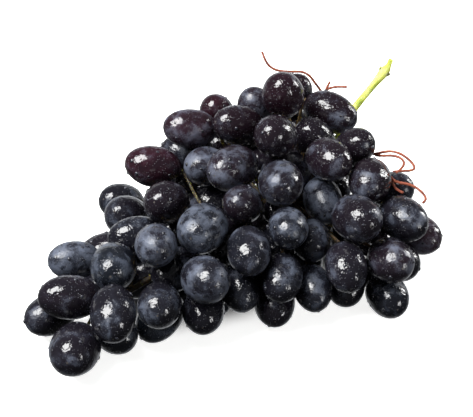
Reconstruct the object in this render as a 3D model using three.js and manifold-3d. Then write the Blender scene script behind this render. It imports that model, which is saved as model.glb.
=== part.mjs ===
// A bunch of dark table grapes lying on its side, with a cut green stalk and dry brown tendrils.
// Millimetres, +Z up, resting on Z = 0. The tip points to the front left and the stalk to the back right.
import * as THREE from 'three';
import { mergeVertices } from 'three/addons/utils/BufferGeometryUtils.js';
import Module from 'manifold-3d';

const wasm = await Module();
wasm.setup();

// Sizes of the berries and stems
const BERRY_DIAMETER = 20.8;
const BERRY_LENGTH = 30;
const BERRY_SPREAD = 0.06;
const BERRY_DETAIL = 1;
const FACET_SWELL = 1.01;
const RACHIS_RADIUS = 2.4;
const RACHIS_TIP_RADIUS = 1.3;
const STALK_RADIUS = 1.75;
const NODE_RADIUS = 2.7;
const STUB_RADIUS = 1.35;
const LATERAL_RADIUS = 1.5;
const LATERAL_END_RADIUS = 1.1;
const PEDICEL_RADIUS = 1.0;
const PEDICEL_SUNK = 2.6;
const TENDRIL_RADIUS = 0.7;
const TENDRIL_END_RADIUS = 0.4;
const CLEARANCE = 0.4;
const PRESS_CLEARANCE = 0.7;
const TABLE_SINK = 0.45;

// The whole bunch is moved by this so that its box is centred over the origin
const SHIFT_X = -1.38;
const SHIFT_Y = -5.39;

// The view the berries were read in: raised by VIEW_ELEVATION, from VIEW_DISTANCE, at VIEW_HEIGHT
const VIEW_STEP = 0.49;
const VIEW_ELEVATION = 35 * Math.PI / 180;
const VIEW_DISTANCE = 700;
const VIEW_HEIGHT = 44;
const SIN = Math.sin(VIEW_ELEVATION);
const COS = Math.cos(VIEW_ELEVATION);

// Seen berries: place across and up from the middle of the view, in steps of VIEW_STEP, then the way the
// berry slants in degrees, the share of its length seen side-on, and its size against the usual one
const FRONT_BERRIES = [
  [-120, -54, -90, 0.25, 1.06], [-120, -106, -85, 0.72, 1.02], [-166, -88, 178, 0.92, 1],
  [-74, -46, -60, 0.2, 0.95], [-28, -22, -140, 0.4, 1.1], [-36, -68, -25, 0.35, 1.05],
  [14, -44, -80, 0.55, 0.98], [52, -20, -90, 0.25, 0.93], [42, 24, -90, 0.2, 1.04],
  [-70, 6, 180, 0.35, 1], [120, -12, -35, 0.4, 1.07], [154, -52, -40, 0.35, 1.02],
  [132, 28, -110, 0.4, 1], [40, 68, 180, 0.25, 1], [44, 112, 100, 0.4, 1.02],
  [-4, 40, 205, 0.6, 1.06], [92, 48, -35, 0.5, 1], [-114, -12, 150, 0.4, 1.04],
  [-83, 42, 170, 0.95, 0.99], [2, 84, 175, 0.8, 0.95], [4, 0, 180, 0.25, 0.9],
  [42, -68, -100, 0.62, 0.95], [110, -56, -80, 0.72, 0.95], [166, -10, -35, 0.6, 1.02],
  [-78, -92, -90, 0.25, 0.98], [-160, -140, -110, 0.3, 1.12],
];
const MIDDLE_BERRIES = [
  [-162, -52, 180, 0.85, 0.92], [-46, 78, 178, 0.92, 0.95], [90, 90, -25, 0.95, 1],
  [78, 8, -75, 0.7, 0.93], [-38, -99, -90, 0.5, 0.96], [0, -76, -90, 0.7, 0.95],
  [38, -94, -90, 0.6, 0.95], [76, -72, -80, 0.7, 0.9], [110, -75, -90, 0.6, 0.95],
  [150, -82, -60, 0.5, 0.96], [76, -32, -90, 0.5, 0.9], [-110, -118, -30, 0.5, 0.95],
  [-186, -106, 200, 0.7, 0.95], [-114, 2, 170, 0.6, 0.95], [-20, 95, 120, 0.4, 0.85],
  [-30, 42, 180, 0.5, 0.95], [22, 102, 120, 0.5, 0.92], [58, 110, 60, 0.5, 0.9],
  [110, 62, 30, 0.5, 0.9], [182, -26, -30, 0.6, 0.95], [160, -56, -30, 0.5, 0.95],
  [156, 18, 20, 0.5, 0.9],
];
// Berries glimpsed between the others point straight away from the stem
const BACK_BERRIES = [
  [-76, -102], [-22, 4], [-6, -32], [-58, -22], [-96, -32], [-124, -38],
  [-48, 58], [58, 86], [-68, -70], [62, 40], [-10, 62], [-94, -66], [84, 66],
];
const LAYER_DEPTH = 9;

// The dome of berry centres over the table: station from the tip, height, half-width in front and behind
const DOME = [
  [-25, 20, 20, 16],
  [0, 24, 30, 22],
  [40, 36, 42, 38],
  [90, 54, 54, 52],
  [120, 66, 62, 54],
  [160, 68, 74, 44],
  [195, 46, 62, 26],
];
const DOME_TIP = [-91, -48];
const DOME_WAY = [0.839, 0.544];

// The rachis runs from inside the tip to the shoulder, and the stalk on from there to its cut end
const RACHIS = [[-64, -40, 15], [2, 8, 27], [46, 50, 38]];
const RACHIS_STEPS = 40;
const STALK = [[46, 50, 38], [55, 65, 47], [61.6, 74.9, 55.1], [78.3, 89.1, 70.1], [82.2, 94.5, 74.3]];
const BERRY_LEAN = 0.33;

// How far from the rachis the hidden berries start, by the part of its length
const REACH = [[0, 26], [0.35, 38], [0.7, 48], [1, 50]];
const HIDDEN_TRIES = 1400;
const SETTLE_ROUNDS = 600;
const HIDDEN_MARGIN = 4;
const CHINK_STEP = 4;
const CHINK_SCALES = [0.98, 0.82, 0.68, 0.55];
const CHINK_DEPTH = 3;
const CHINK_MARGIN = 2.5;
const CHINK_BARE = 1;
const TOUCH_RANGE = 36;
const WOOD_RANGE = 21;
const WOOD_PUSH = 1;
const GAP_STEPS = 8;
const GAP_TURN = 0.03;

// The sprays stand round the rachis by the golden angle
const SPRAY_COUNT = 14;
const SPRAY_TURN = 2.399963;
const SPRAY_START = 0.6;
const UNTANGLE_TURNS = 20;

// Tendrils and their forks: across and up in steps of VIEW_STEP, and depth in mm
const TOP_TENDRIL = [
  [97, 98, -62], [92, 107, -60], [86.5, 115.5, -56], [76.5, 126.5, -53], [63.5, 134.5, -50],
  [51.5, 137, -48], [34.5, 136.5, -46], [28.5, 146.5, -46], [25.5, 157, -46],
];
const TOP_FORK = [[86.5, 115.5, -56], [90.5, 120.5, -55], [98.5, 122.5, -54], [110.5, 121.5, -53]];
const TOP_TWIG = [[89.5, 119, -55], [93.5, 127, -54]];
const LOOP_OUTER = [
  [118, 56, -36], [128, 56, -28], [138, 54, -19], [148.5, 57.5, -14], [157.5, 58.5, -12], [168.5, 53.5, -9],
  [176.5, 45.5, -7], [179.5, 40.5, -6], [177.5, 37, -5], [166.5, 38, -4], [155.5, 36.5, -3],
];
const LOOP_INNER = [
  [138, 54, -19], [144.5, 51.5, -15], [153.5, 54, -12], [163.5, 52.5, -9], [170.5, 46.5, -6],
  [166.5, 40.5, -4], [159.5, 35.5, -3],
];
const TAIL_LONG = [
  [143.5, 27.5, -8], [153.5, 27.5, -4], [163.5, 24.5, -2], [173.5, 25.5, -1], [181.5, 20.5, 0],
  [188.5, 13.5, 2], [191.5, 8.5, 3], [185.5, 5, 5],
];
const TAIL_SHORT = [[146, 27.5, -7], [152.5, 24, -4], [159.5, 18.5, -1], [166.5, 14, 1]];

const SKIN = { color: 0x2a2230, roughness: 0.32, metalness: 0 };
const GREEN = { color: 0xb9c26a, roughness: 0.6, metalness: 0 };
const BROWN = { color: 0x7d4636, roughness: 0.75, metalness: 0 };

// Vectors as plain lists of three
const dot = (a, b) => a[0] * b[0] + a[1] * b[1] + a[2] * b[2];
const sub = (a, b) => [a[0] - b[0], a[1] - b[1], a[2] - b[2]];
const add = (a, b, k = 1) => [a[0] + b[0] * k, a[1] + b[1] * k, a[2] + b[2] * k];
const size = (a) => Math.sqrt(dot(a, a));
const unit = (a) => {
  const n = size(a);
  return [a[0] / n, a[1] / n, a[2] / n];
};
const cross = (a, b) => [
  a[1] * b[2] - a[2] * b[1],
  a[2] * b[0] - a[0] * b[2],
  a[0] * b[1] - a[1] * b[0],
];
const between = (a, b, k) => add(a, sub(b, a), k);
const clamp = (x, low, high) => Math.max(low, Math.min(high, x));

// A repeatable run of numbers between 0 and 1
function draws(seed) {
  let value = seed;
  return () => {
    value = (value * 1664525 + 1013904223) % 4294967296;
    return value / 4294967296;
  };
}

// A row of numbers read from a table by its first column
function readTable(table, key) {
  if (key <= table[0][0]) {
    return table[0].slice(1);
  }
  for (let i = 1; i < table.length; i += 1) {
    const [a, b] = [table[i - 1], table[i]];
    if (key <= b[0]) {
      const k = (key - a[0]) / (b[0] - a[0]);
      return a.slice(1).map((x, j) => x + (b[j + 1] - x) * k);
    }
  }
  return table[table.length - 1].slice(1);
}

function rachisAt(t) {
  const [p, q, r] = [(1 - t) * (1 - t), 2 * t * (1 - t), t * t];
  return [0, 1, 2].map((i) => RACHIS[0][i] * p + RACHIS[1][i] * q + RACHIS[2][i] * r);
}

const rachisPoints = [];
for (let i = 0; i <= RACHIS_STEPS; i += 1) {
  rachisPoints.push(rachisAt(i / RACHIS_STEPS));
}
const woodPoints = [...rachisPoints];
for (let i = 0; i + 1 < STALK.length; i += 1) {
  for (let k = 1; k <= 8; k += 1) {
    woodPoints.push(between(STALK[i], STALK[i + 1], k / 8));
  }
}

function nearest(p, points) {
  let best = 1e18;
  let index = 0;
  points.forEach((q, i) => {
    const d = sub(p, q);
    const gap = dot(d, d);
    if (gap < best) {
      best = gap;
      index = i;
    }
  });
  return [index, Math.sqrt(best)];
}

// From the view to the bunch and back: across, up and toward the eye
function place(u, v, w) {
  const k = 1 - w / VIEW_DISTANCE;
  return [u * k, v * k * SIN - w * COS, VIEW_HEIGHT + v * k * COS + w * SIN];
}

function inView(p) {
  const z = p[2] - VIEW_HEIGHT;
  const w = -p[1] * COS + z * SIN;
  const k = 1 - w / VIEW_DISTANCE;
  return [p[0] / k, (p[1] * SIN + z * COS) / k, w];
}

// How far a place lies above the dome of berry centres
function aboveDome(p) {
  const rx = p[0] - DOME_TIP[0];
  const ry = p[1] - DOME_TIP[1];
  const station = rx * DOME_WAY[0] + ry * DOME_WAY[1];
  const offset = ry * DOME_WAY[0] - rx * DOME_WAY[1];
  const [height, front, back] = readTable(DOME, station);
  const width = offset > 0 ? back : front;
  const q = 1 - (offset / width) * (offset / width);
  const rest = BERRY_DIAMETER / 2;
  if (q > 0) {
    return p[2] - (rest + (height - rest) * Math.sqrt(q));
  }
  return p[2] - rest + 1 + 0.6 * (Math.abs(offset) - width);
}

// A berry points away from a place on the rachis nearer to the stalk than itself
function pointing(c) {
  const [i] = nearest(c, rachisPoints);
  const t = Math.min(1, i / RACHIS_STEPS + BERRY_LEAN);
  return unit(sub(c, rachisAt(t)));
}

// A berry that slants in the view and shows a share of its length
function slanted(degrees, share) {
  const a = degrees * Math.PI / 180;
  const [u, v, w] = [Math.cos(a) * share, Math.sin(a) * share, Math.sqrt(1 - share * share)];
  return [u, v * SIN - w * COS, v * COS + w * SIN];
}

function newBerry(c, scale) {
  return { c, axis: pointing(c), dia: BERRY_DIAMETER * scale, len: BERRY_LENGTH * scale };
}

// How far the skin of a berry, grown by a margin, lies from its middle along a direction
function reach(b, n, margin) {
  const k = dot(b.axis, n);
  const a = b.len / 2 + margin;
  const r = b.dia / 2 + margin;
  return 1 / Math.sqrt(k * k / (a * a) + (1 - k * k) / (r * r));
}

// The point of a berry that lies farthest along a direction, from its middle
function farthest(b, n) {
  const rr = b.dia * b.dia / 4;
  const k = dot(b.axis, n) * (b.len * b.len / 4 - rr);
  const far = add([n[0] * rr, n[1] * rr, n[2] * rr], b.axis, k);
  const h = Math.sqrt(dot(far, n));
  return [far[0] / h, far[1] / h, far[2] / h];
}

// The gap between two berries, across the plane that parts them best
function gapBetween(a, b) {
  const d = sub(b.c, a.c);
  let n = unit(d);
  let best = -1e9;
  for (let i = 0; i < GAP_STEPS; i += 1) {
    const across = sub(sub(d, farthest(a, n)), farthest(b, n));
    const gap = dot(across, n);
    best = Math.max(best, gap);
    n = unit(add(n, add(across, n, -gap), GAP_TURN));
  }
  return best;
}

// The place on the wood that a berry comes too close to, and by how much
function woodShort(b) {
  let index = -1;
  let worst = 0;
  woodPoints.forEach((q, i) => {
    const d = sub(b.c, q);
    const gap = size(d);
    const short = gap < WOOD_RANGE ? reach(b, unit(d), RACHIS_RADIUS + CLEARANCE * 2) - gap : 0;
    if (short > worst) {
      worst = short;
      index = i;
    }
  });
  return [index, worst];
}

// How high the middle of a berry lies when it rests on the table
const restHeight = (b) => farthest(b, [0, 0, 1])[2] - TABLE_SINK;

// The berries seen from the front, first set on the dome and then pressed apart
function seenBerries() {
  const draw = draws(7);
  const out = [];
  [FRONT_BERRIES, MIDDLE_BERRIES, BACK_BERRIES].forEach((group, layer) => {
    for (const [across, up, slant, share, read] of group) {
      const u = across * VIEW_STEP;
      const v = up * VIEW_STEP;
      let best = 1e9;
      let w = 0;
      for (let i = 0; i <= 380; i += 1) {
        const miss = aboveDome(place(u, v, 90 - 0.5 * i));
        if (miss < best) {
          best = miss;
          w = 90 - 0.5 * i;
        }
        if (miss <= 0) {
          break;
        }
      }
      w -= layer * LAYER_DEPTH;
      const scale = read === undefined ? 1 + BERRY_SPREAD * (2 * draw() - 1) : read;
      const b = newBerry(place(u, v, w), scale);
      out.push(Object.assign(b, { u, v, w, home: [u, v, w], slant, share }));
    }
  });
  for (let round = 0; round < SETTLE_ROUNDS; round += 1) {
    pressApart(out, round / SETTLE_ROUNDS);
    out.forEach((b) => settle(b, round / SETTLE_ROUNDS));
  }
  return out;
}

function pressApart(berries, age) {
  for (let i = 0; i < berries.length; i += 1) {
    for (let j = i + 1; j < berries.length; j += 1) {
      const [a, b] = [berries[i], berries[j]];
      const gap = size(sub(b.c, a.c));
      if (gap > TOUCH_RANGE) {
        continue;
      }
      const need = gap + PRESS_CLEARANCE - gapBetween(a, b);
      if (gap >= need) {
        continue;
      }
      const [du, dv, dw] = [a.u - b.u, a.v - b.v, a.w - b.w];
      const flat = Math.sqrt(du * du + dv * dv);
      const want = Math.sqrt(Math.max(0, need * need - flat * flat));
      const push = (want - Math.abs(dw)) * 0.5;
      if (push > 0) {
        a.w += dw >= 0 ? push * 0.25 : -push * 0.75;
        b.w -= dw >= 0 ? push * 0.75 : -push * 0.25;
      }
      if (age > 0.4) {
        const slide = (need - gap) * (age < 0.8 ? 0.08 : 0.5) / Math.max(flat, 0.001);
        a.u += slide * du;
        a.v += slide * dv;
        b.u -= slide * du;
        b.v -= slide * dv;
      }
      a.c = place(a.u, a.v, a.w);
      b.c = place(b.u, b.v, b.w);
    }
  }
}

function settle(b, age) {
  const [i, short] = woodShort(b);
  if (short > 0) {
    b.w += short * (b.w >= inView(woodPoints[i])[2] ? WOOD_PUSH : -WOOD_PUSH);
  }
  const pull = age < 0.8 ? 0.06 : 0.008;
  b.w += (b.home[2] - b.w) * 0.004;
  b.u += (b.home[0] - b.u) * pull;
  b.v += (b.home[1] - b.v) * pull;
  const low = restHeight(b);
  b.c = place(b.u, b.v, b.w);
  if (b.c[2] < low) {
    b.w += (low - b.c[2]) / SIN;
    b.c = place(b.u, b.v, b.w);
  }
  b.axis = b.slant === undefined ? pointing(b.c) : slanted(b.slant, b.share);
}

// Whether a berry touches no other and keeps off the rachis
function isFree(b, berries) {
  for (const o of berries) {
    if (size(sub(o.c, b.c)) < TOUCH_RANGE && gapBetween(b, o) < CLEARANCE) {
      return false;
    }
  }
  return woodShort(b)[1] <= 0;
}

// Whether a berry lies behind the seen ones, but for a few points of its outline
function isCovered(b, seen, grow, few) {
  const [u, v, w] = inView(b.c);
  let bare = 0;
  for (let i = 0; i <= 12; i += 1) {
    const r = i === 12 ? 0 : b.dia * 0.42;
    const pu = u + r * Math.cos(i * Math.PI / 6);
    const pv = v + r * Math.sin(i * Math.PI / 6);
    const hit = seen.some((s) => {
      const edge = s.dia / 2 + grow;
      return (pu - s.u) * (pu - s.u) + (pv - s.v) * (pv - s.v) < edge * edge && s.w > w;
    });
    bare += hit ? 0 : 1;
  }
  return bare <= few;
}

function frameAt(t) {
  const ahead = unit(sub(rachisAt(Math.min(1, t + 0.02)), rachisAt(Math.max(0, t - 0.02))));
  const side = unit([ahead[1], -ahead[0], 0]);
  return { ahead, side, up: cross(side, ahead) };
}

// Hidden berries come in toward the rachis from all round until another berry stops them
function hiddenBerries(seen) {
  const draw = draws(23);
  const out = [...seen];
  for (let k = 0; k < HIDDEN_TRIES; k += 1) {
    const t = (k * 0.7548777) % 1;
    const turn = 2 * Math.PI * ((k * 0.5698403) % 1);
    const { side, up } = frameAt(t);
    const way = add([side[0] * Math.cos(turn), side[1] * Math.cos(turn), 0], up, Math.sin(turn));
    const scale = 1 + BERRY_SPREAD * (2 * draw() - 1);
    let best = null;
    for (let r = readTable(REACH, t)[0]; r > 12; r -= 1) {
      const c = add(rachisAt(t), way, r);
      const b = newBerry(c, scale);
      b.c = [c[0], c[1], Math.max(c[2], restHeight(b))];
      if (!isFree(b, out)) {
        break;
      }
      best = b;
    }
    if (best && isCovered(best, seen, HIDDEN_MARGIN, 0)) {
      out.push(best);
    }
  }
  return out;
}

// Smaller berries that close the chinks an eye could look through
function chinkBerries(berries, seen) {
  const draw = draws(41);
  const out = [...berries];
  for (let row = -17; row < 18; row += 1) {
    for (let column = -24; column < 25; column += 1) {
      const [u, v] = [column * CHINK_STEP, -row * CHINK_STEP];
      const shut = out.some((o) => {
        const [ou, ov] = inView(o.c);
        return (u - ou) * (u - ou) + (v - ov) * (v - ov) < o.dia * o.dia / 4;
      });
      const scales = shut ? [] : CHINK_SCALES;
      for (const most of scales) {
        const b = sinkIn(u, v, most - BERRY_SPREAD * draw(), out);
        if (b && isCovered(b, seen, CHINK_MARGIN, CHINK_BARE)) {
          out.push(b);
          break;
        }
      }
    }
  }
  return out;
}

// A berry slid in along a line of sight to the first place where it fits under the dome
function sinkIn(u, v, scale, berries) {
  for (let w = 40; w > -60; w -= 1) {
    const c = place(u, v, w);
    const b = newBerry(c, scale);
    if (c[2] < restHeight(b)) {
      return null;
    }
    if (aboveDome(c) < -CHINK_DEPTH && isFree(b, berries)) {
      return b;
    }
  }
  return null;
}

const stemEnd = (b) => add(b.c, b.axis, -b.len * 0.46);

function along(p, a, b, low) {
  const d = sub(b, a);
  return clamp(dot(sub(p, a), d) / dot(d, d), low, 1);
}

// The side stems, each drawn toward the middle of the berries nearest to it
function layLaterals(berries) {
  const laterals = [];
  for (let k = 0; k < SPRAY_COUNT; k += 1) {
    const t = 0.04 + 0.94 * k / (SPRAY_COUNT - 1);
    const { ahead, side, up } = frameAt(t);
    const turn = k * SPRAY_TURN + SPRAY_START;
    const out = add([side[0] * Math.cos(turn), side[1] * Math.cos(turn), 0], up, Math.sin(turn));
    const way = unit(add(out, ahead, -0.35));
    const base = rachisAt(t);
    laterals.push({ ahead, base, root: base, end: add(base, way, 24) });
  }
  for (let round = 0; round < 6; round += 1) {
    for (const b of berries) {
      const e = stemEnd(b);
      let best = 1e9;
      laterals.forEach((l, k) => {
        const q = between(l.base, l.end, along(e, l.base, l.end, 0));
        const gap = size(sub(e, q)) + 0.35 * size(sub(b.c, q));
        if (gap < best) {
          best = gap;
          b.spray = k;
        }
      });
    }
    laterals.forEach((l, k) => {
      const own = berries.filter((b) => b.spray === k).map(stemEnd);
      if (own.length > 0) {
        const sum = own.reduce((a, p) => add(a, p), [0, 0, 0]);
        const d = sub(sum.map((x) => x / own.length), l.base);
        l.end = add(l.base, unit(d), Math.max(10, size(d) * 0.9));
      }
    });
  }
  for (const l of laterals) {
    const d = unit(sub(l.end, l.base));
    const lean = dot(d, l.ahead);
    const out = unit(add(d, l.ahead, -lean));
    l.root = add(l.base, out, RACHIS_RADIUS + CLEARANCE * 2 + LATERAL_RADIUS * Math.abs(lean));
  }
  return laterals;
}

function pierces(p, q, r, b) {
  const n = Math.max(2, Math.floor(size(sub(q, p)) / 0.8));
  for (let i = 0; i <= n; i += 1) {
    const x = sub(between(p, q, i / n), b.c);
    const k = dot(x, b.axis);
    const wide = b.dia / 2 + r;
    const tall = b.len / 2 + r;
    if (k * k / (tall * tall) + (dot(x, x) - k * k) / (wide * wide) < 1) {
      return true;
    }
  }
  return false;
}

function crossesWood(p, q) {
  const n = Math.max(2, Math.floor(size(sub(q, p)) / 0.8));
  for (let i = 0; i <= n; i += 1) {
    const gap = nearest(between(p, q, i / n), woodPoints)[1];
    if (gap < RACHIS_RADIUS + PEDICEL_RADIUS + CLEARANCE * 2) {
      return true;
    }
  }
  return false;
}

// Where on its side stem a berry's own stem can start and pass clear of the other sprays and the rachis
function clearStart(b, laterals, berries) {
  const l = laterals[b.spray];
  const e = stemEnd(b);
  const first = along(e, l.root, l.end, 0.3);
  let hit = null;
  for (const k of [first, 1, 0.8, 0.6, 0.45, 0.3]) {
    const p = between(l.root, l.end, k);
    const spray = b.spray;
    hit = berries.find((o) => o.spray !== spray && pierces(p, e, PEDICEL_RADIUS + CLEARANCE, o));
    const wood = crossesWood(p, e);
    if (!hit && !wood) {
      b.start = k;
      return -1;
    }
  }
  b.start = first;
  return hit ? hit.spray : nextSpray(b, laterals);
}

// The next nearest spray to try for a berry that the rachis cuts off
function nextSpray(b, laterals) {
  const e = stemEnd(b);
  const order = laterals.map((l, k) => [size(sub(l.end, e)), k]).sort((x, y) => x[0] - y[0]);
  b.tried = (b.tried ?? 0) + 1;
  return order[b.tried % order.length][1];
}

// A side stem stops short of other sprays' berries, and a berry that is shut in joins its neighbour
function untangle(berries, laterals) {
  for (let turn = 0; turn < UNTANGLE_TURNS; turn += 1) {
    let moved = 0;
    laterals.forEach((l, k) => {
      const others = berries.filter((b) => b.spray !== k);
      const blocked = () => others.find((b) => pierces(l.root, l.end, LATERAL_RADIUS + CLEARANCE, b));
      while (size(sub(l.end, l.root)) > 5 && blocked()) {
        l.end = add(l.end, unit(sub(l.root, l.end)), 1);
        moved += 1;
      }
      const last = blocked();
      if (last) {
        last.spray = k;
        moved += 1;
      }
    });
    for (const b of berries) {
      const other = clearStart(b, laterals, berries);
      if (other >= 0) {
        b.spray = other;
        b.start = 0.6;
        moved += 1;
      }
    }
    if (moved === 0) {
      return;
    }
  }
}

// Solids
function solid(geometry) {
  geometry.deleteAttribute('normal');
  geometry.deleteAttribute('uv');
  const merged = mergeVertices(geometry, 1e-4);
  const mesh = new wasm.Mesh({
    numProp: 3,
    vertProperties: new Float32Array(merged.attributes.position.array),
    triVerts: new Uint32Array(merged.index.array),
  });
  return new wasm.Manifold(mesh);
}

function toMesh(manifold, name, look) {
  const raw = manifold.getMesh();
  const geometry = new THREE.BufferGeometry();
  geometry.setAttribute('position', new THREE.BufferAttribute(new Float32Array(raw.vertProperties), 3));
  geometry.setIndex(new THREE.BufferAttribute(new Uint32Array(raw.triVerts), 1));
  geometry.translate(SHIFT_X, SHIFT_Y, 0);
  geometry.computeVertexNormals();
  const mesh = new THREE.Mesh(geometry, new THREE.MeshStandardMaterial(look));
  mesh.name = name;
  return mesh;
}

const toVector = (p) => new THREE.Vector3(p[0], p[1], p[2]);
const UP = new THREE.Vector3(0, 1, 0);

function turnTo(geometry, way, at) {
  geometry.applyQuaternion(new THREE.Quaternion().setFromUnitVectors(UP, toVector(way)));
  geometry.translate(at[0], at[1], at[2]);
  return geometry;
}

function berrySolid(b) {
  const geometry = new THREE.IcosahedronGeometry(1, BERRY_DETAIL);
  geometry.scale(b.dia / 2 * FACET_SWELL, b.len / 2 * FACET_SWELL, b.dia / 2 * FACET_SWELL);
  return solid(turnTo(geometry, b.axis, b.c));
}

function rodSolid(p, q, startRadius, endRadius, sides) {
  const geometry = new THREE.CylinderGeometry(endRadius, startRadius, size(sub(q, p)), sides, 1);
  return solid(turnTo(geometry, unit(sub(q, p)), between(p, q, 0.5)));
}

// A round strand along a path, tapered from one end to the other
function strandSolid(points, startRadius, endRadius, sides, steps) {
  const path = new THREE.CatmullRomCurve3(points.map(toVector));
  const outline = new THREE.Shape();
  for (let i = 0; i < sides; i += 1) {
    const a = 2 * Math.PI * i / sides;
    const [x, y] = [Math.cos(a) * startRadius, Math.sin(a) * startRadius];
    if (i === 0) {
      outline.moveTo(x, y);
    } else {
      outline.lineTo(x, y);
    }
  }
  outline.closePath();
  const geometry = new THREE.ExtrudeGeometry(outline, { steps, bevelEnabled: false, extrudePath: path });
  const centres = path.getSpacedPoints(steps).map((p) => [p.x, p.y, p.z]);
  const position = geometry.attributes.position;
  for (let i = 0; i < position.count; i += 1) {
    const p = [position.getX(i), position.getY(i), position.getZ(i)];
    const [ring] = nearest(p, centres);
    const k = 1 + (endRadius / startRadius - 1) * ring / steps;
    const q = between(centres[ring], p, k);
    position.setXYZ(i, q[0], q[1], q[2]);
  }
  return solid(geometry);
}

// Points along a smooth line through a few places
function smoothPoints(places, perSpan) {
  const out = [];
  for (let i = 0; i + 1 < places.length; i += 1) {
    const [b, c] = [places[i], places[i + 1]];
    const a = i > 0 ? places[i - 1] : add(b, sub(c, b), -1);
    const d = i + 2 < places.length ? places[i + 2] : add(c, sub(b, c), -1);
    for (let k = 0; k < perSpan; k += 1) {
      const t = k / perSpan;
      out.push([0, 1, 2].map((j) => 0.5 * (2 * b[j] + (c[j] - a[j]) * t
        + (2 * a[j] - 5 * b[j] + 4 * c[j] - d[j]) * t * t
        + (3 * b[j] - a[j] - 3 * c[j] + d[j]) * t * t * t)));
    }
  }
  out.push(places[places.length - 1]);
  return out;
}

// A tendril is bent clear of the berries it would cross
function bentClear(places, berries) {
  const points = smoothPoints(places.map(([a, b, w]) => place(a * VIEW_STEP, b * VIEW_STEP, w)), 3);
  const margin = TENDRIL_RADIUS + CLEARANCE + 0.5;
  for (let round = 0; round < 30; round += 1) {
    for (let i = 0; i < points.length; i += 1) {
      for (const b of berries) {
        const x = sub(points[i], b.c);
        const k = dot(x, b.axis);
        const wide = b.dia / 2 + margin;
        const tall = b.len / 2 + margin;
        const f = Math.sqrt(k * k / (tall * tall) + (dot(x, x) - k * k) / (wide * wide));
        if (f < 1) {
          points[i] = add(b.c, x, 1 / f);
        }
      }
    }
    for (let i = 1; i + 1 < points.length && round < 26; i += 1) {
      points[i] = between(points[i], between(points[i - 1], points[i + 1], 0.5), 0.2);
    }
  }
  return points;
}

function tendrilSolid(lines, berries) {
  return lines.map((line) => bentClear(line, berries)).map((points) => (
    strandSolid(points, TENDRIL_RADIUS, TENDRIL_END_RADIUS, 4, points.length)
  )).reduce((a, b) => a.add(b));
}

// The bunch
const seen = seenBerries();
const berries = chinkBerries(hiddenBerries(seen), seen);
const laterals = layLaterals(berries);
untangle(berries, laterals);

const table = new THREE.BoxGeometry(600, 600, 40);
table.translate(0, 0, -20);
const tableSolid = solid(table);

const group = new THREE.Group();
group.name = 'grape_bunch';

const rachisLine = rachisPoints.filter((p, i) => i % 5 === 0);
let stalk = strandSolid(rachisLine, RACHIS_TIP_RADIUS, RACHIS_RADIUS, 8, 16);
stalk = stalk.add(strandSolid(STALK.slice(0, 4), RACHIS_RADIUS, STALK_RADIUS, 8, 10));
stalk = stalk.add(rodSolid(STALK[3], STALK[4], STALK_RADIUS, STUB_RADIUS, 8));
const knot = new THREE.IcosahedronGeometry(NODE_RADIUS, 1);
knot.translate(...STALK[3]);
stalk = stalk.add(solid(knot));
group.add(toMesh(stalk, 'stalk', GREEN));

const sprays = laterals.map((l, k) => ({ l, own: berries.filter((b) => b.spray === k) }));
sprays.filter(({ own }) => own.length > 0).forEach(({ l, own }, k) => {
  let spray = rodSolid(l.root, l.end, LATERAL_RADIUS, LATERAL_END_RADIUS, 6);
  for (const b of own) {
    const start = between(l.root, l.end, b.start);
    const end = add(stemEnd(b), b.axis, PEDICEL_SUNK);
    spray = spray.add(rodSolid(start, end, PEDICEL_RADIUS, PEDICEL_RADIUS, 4));
    spray = spray.add(berrySolid(b));
  }
  const name = `spray_${String(k + 1).padStart(2, '0')}`;
  group.add(toMesh(spray.subtract(tableSolid), name, SKIN));
});

group.add(toMesh(tendrilSolid([TOP_TENDRIL, TOP_FORK, TOP_TWIG], berries), 'tendril_top', BROWN));
group.add(toMesh(tendrilSolid([LOOP_OUTER, LOOP_INNER], berries), 'tendril_loops', BROWN));
group.add(toMesh(tendrilSolid([TAIL_LONG, TAIL_SHORT], berries), 'tendril_tails', BROWN));

export default group;
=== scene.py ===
"""A bunch of blue-black table grapes, wet and bloomed, lying on a pale floor."""

import logging
import math
from dataclasses import dataclass, field
from enum import Enum
from functools import partial
from typing import Callable, Optional

import bmesh
import bpy
from mathutils import Matrix, Vector, noise


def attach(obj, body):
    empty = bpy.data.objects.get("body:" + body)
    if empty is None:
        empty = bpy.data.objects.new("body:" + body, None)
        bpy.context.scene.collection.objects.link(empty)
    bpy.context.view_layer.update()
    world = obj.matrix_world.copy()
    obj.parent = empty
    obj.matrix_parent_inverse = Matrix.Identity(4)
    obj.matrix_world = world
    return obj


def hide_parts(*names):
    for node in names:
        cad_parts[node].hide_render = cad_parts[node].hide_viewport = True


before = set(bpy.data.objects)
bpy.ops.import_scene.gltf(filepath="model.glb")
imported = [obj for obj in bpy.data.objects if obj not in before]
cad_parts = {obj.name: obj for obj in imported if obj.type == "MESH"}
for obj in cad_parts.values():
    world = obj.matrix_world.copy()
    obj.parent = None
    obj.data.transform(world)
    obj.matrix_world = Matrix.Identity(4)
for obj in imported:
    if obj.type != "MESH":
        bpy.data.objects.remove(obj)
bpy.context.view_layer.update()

LOG = logging.getLogger("grapes")
Vec = tuple[float, float, float]
Draw = Callable[[], float]
Mesh = bmesh.types.BMesh
Material = bpy.types.Material
Socket = bpy.types.NodeSocket
MM = 0.001
UP = Vector((0.0, 0.0, 1.0))
GOLDEN_ANGLE = 2.399963
# Each draw is the last one times a factor, plus a step, within a range
DRAW_FACTOR, DRAW_STEP, DRAW_RANGE = 1664525, 1013904223, 4294967296
# Values that berries and stems carry on their vertices for their finishes to read
SKIN_MARKS = ("shade", "ruddy", "waxy", "pole")
# The stems' brown amount: their own dryness, and inside the bunch painted shade as well
STEM_MARK = "dry"
# The first spray's seed, the next one's being one higher
SPRAY_SEED = 100


class Slot(Enum):
    """Material slots of the record that the pieces take their finish from."""

    SKIN = "berry_skin"
    STEM = "green_stem"
    TENDRIL = "dry_tendril"


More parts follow.
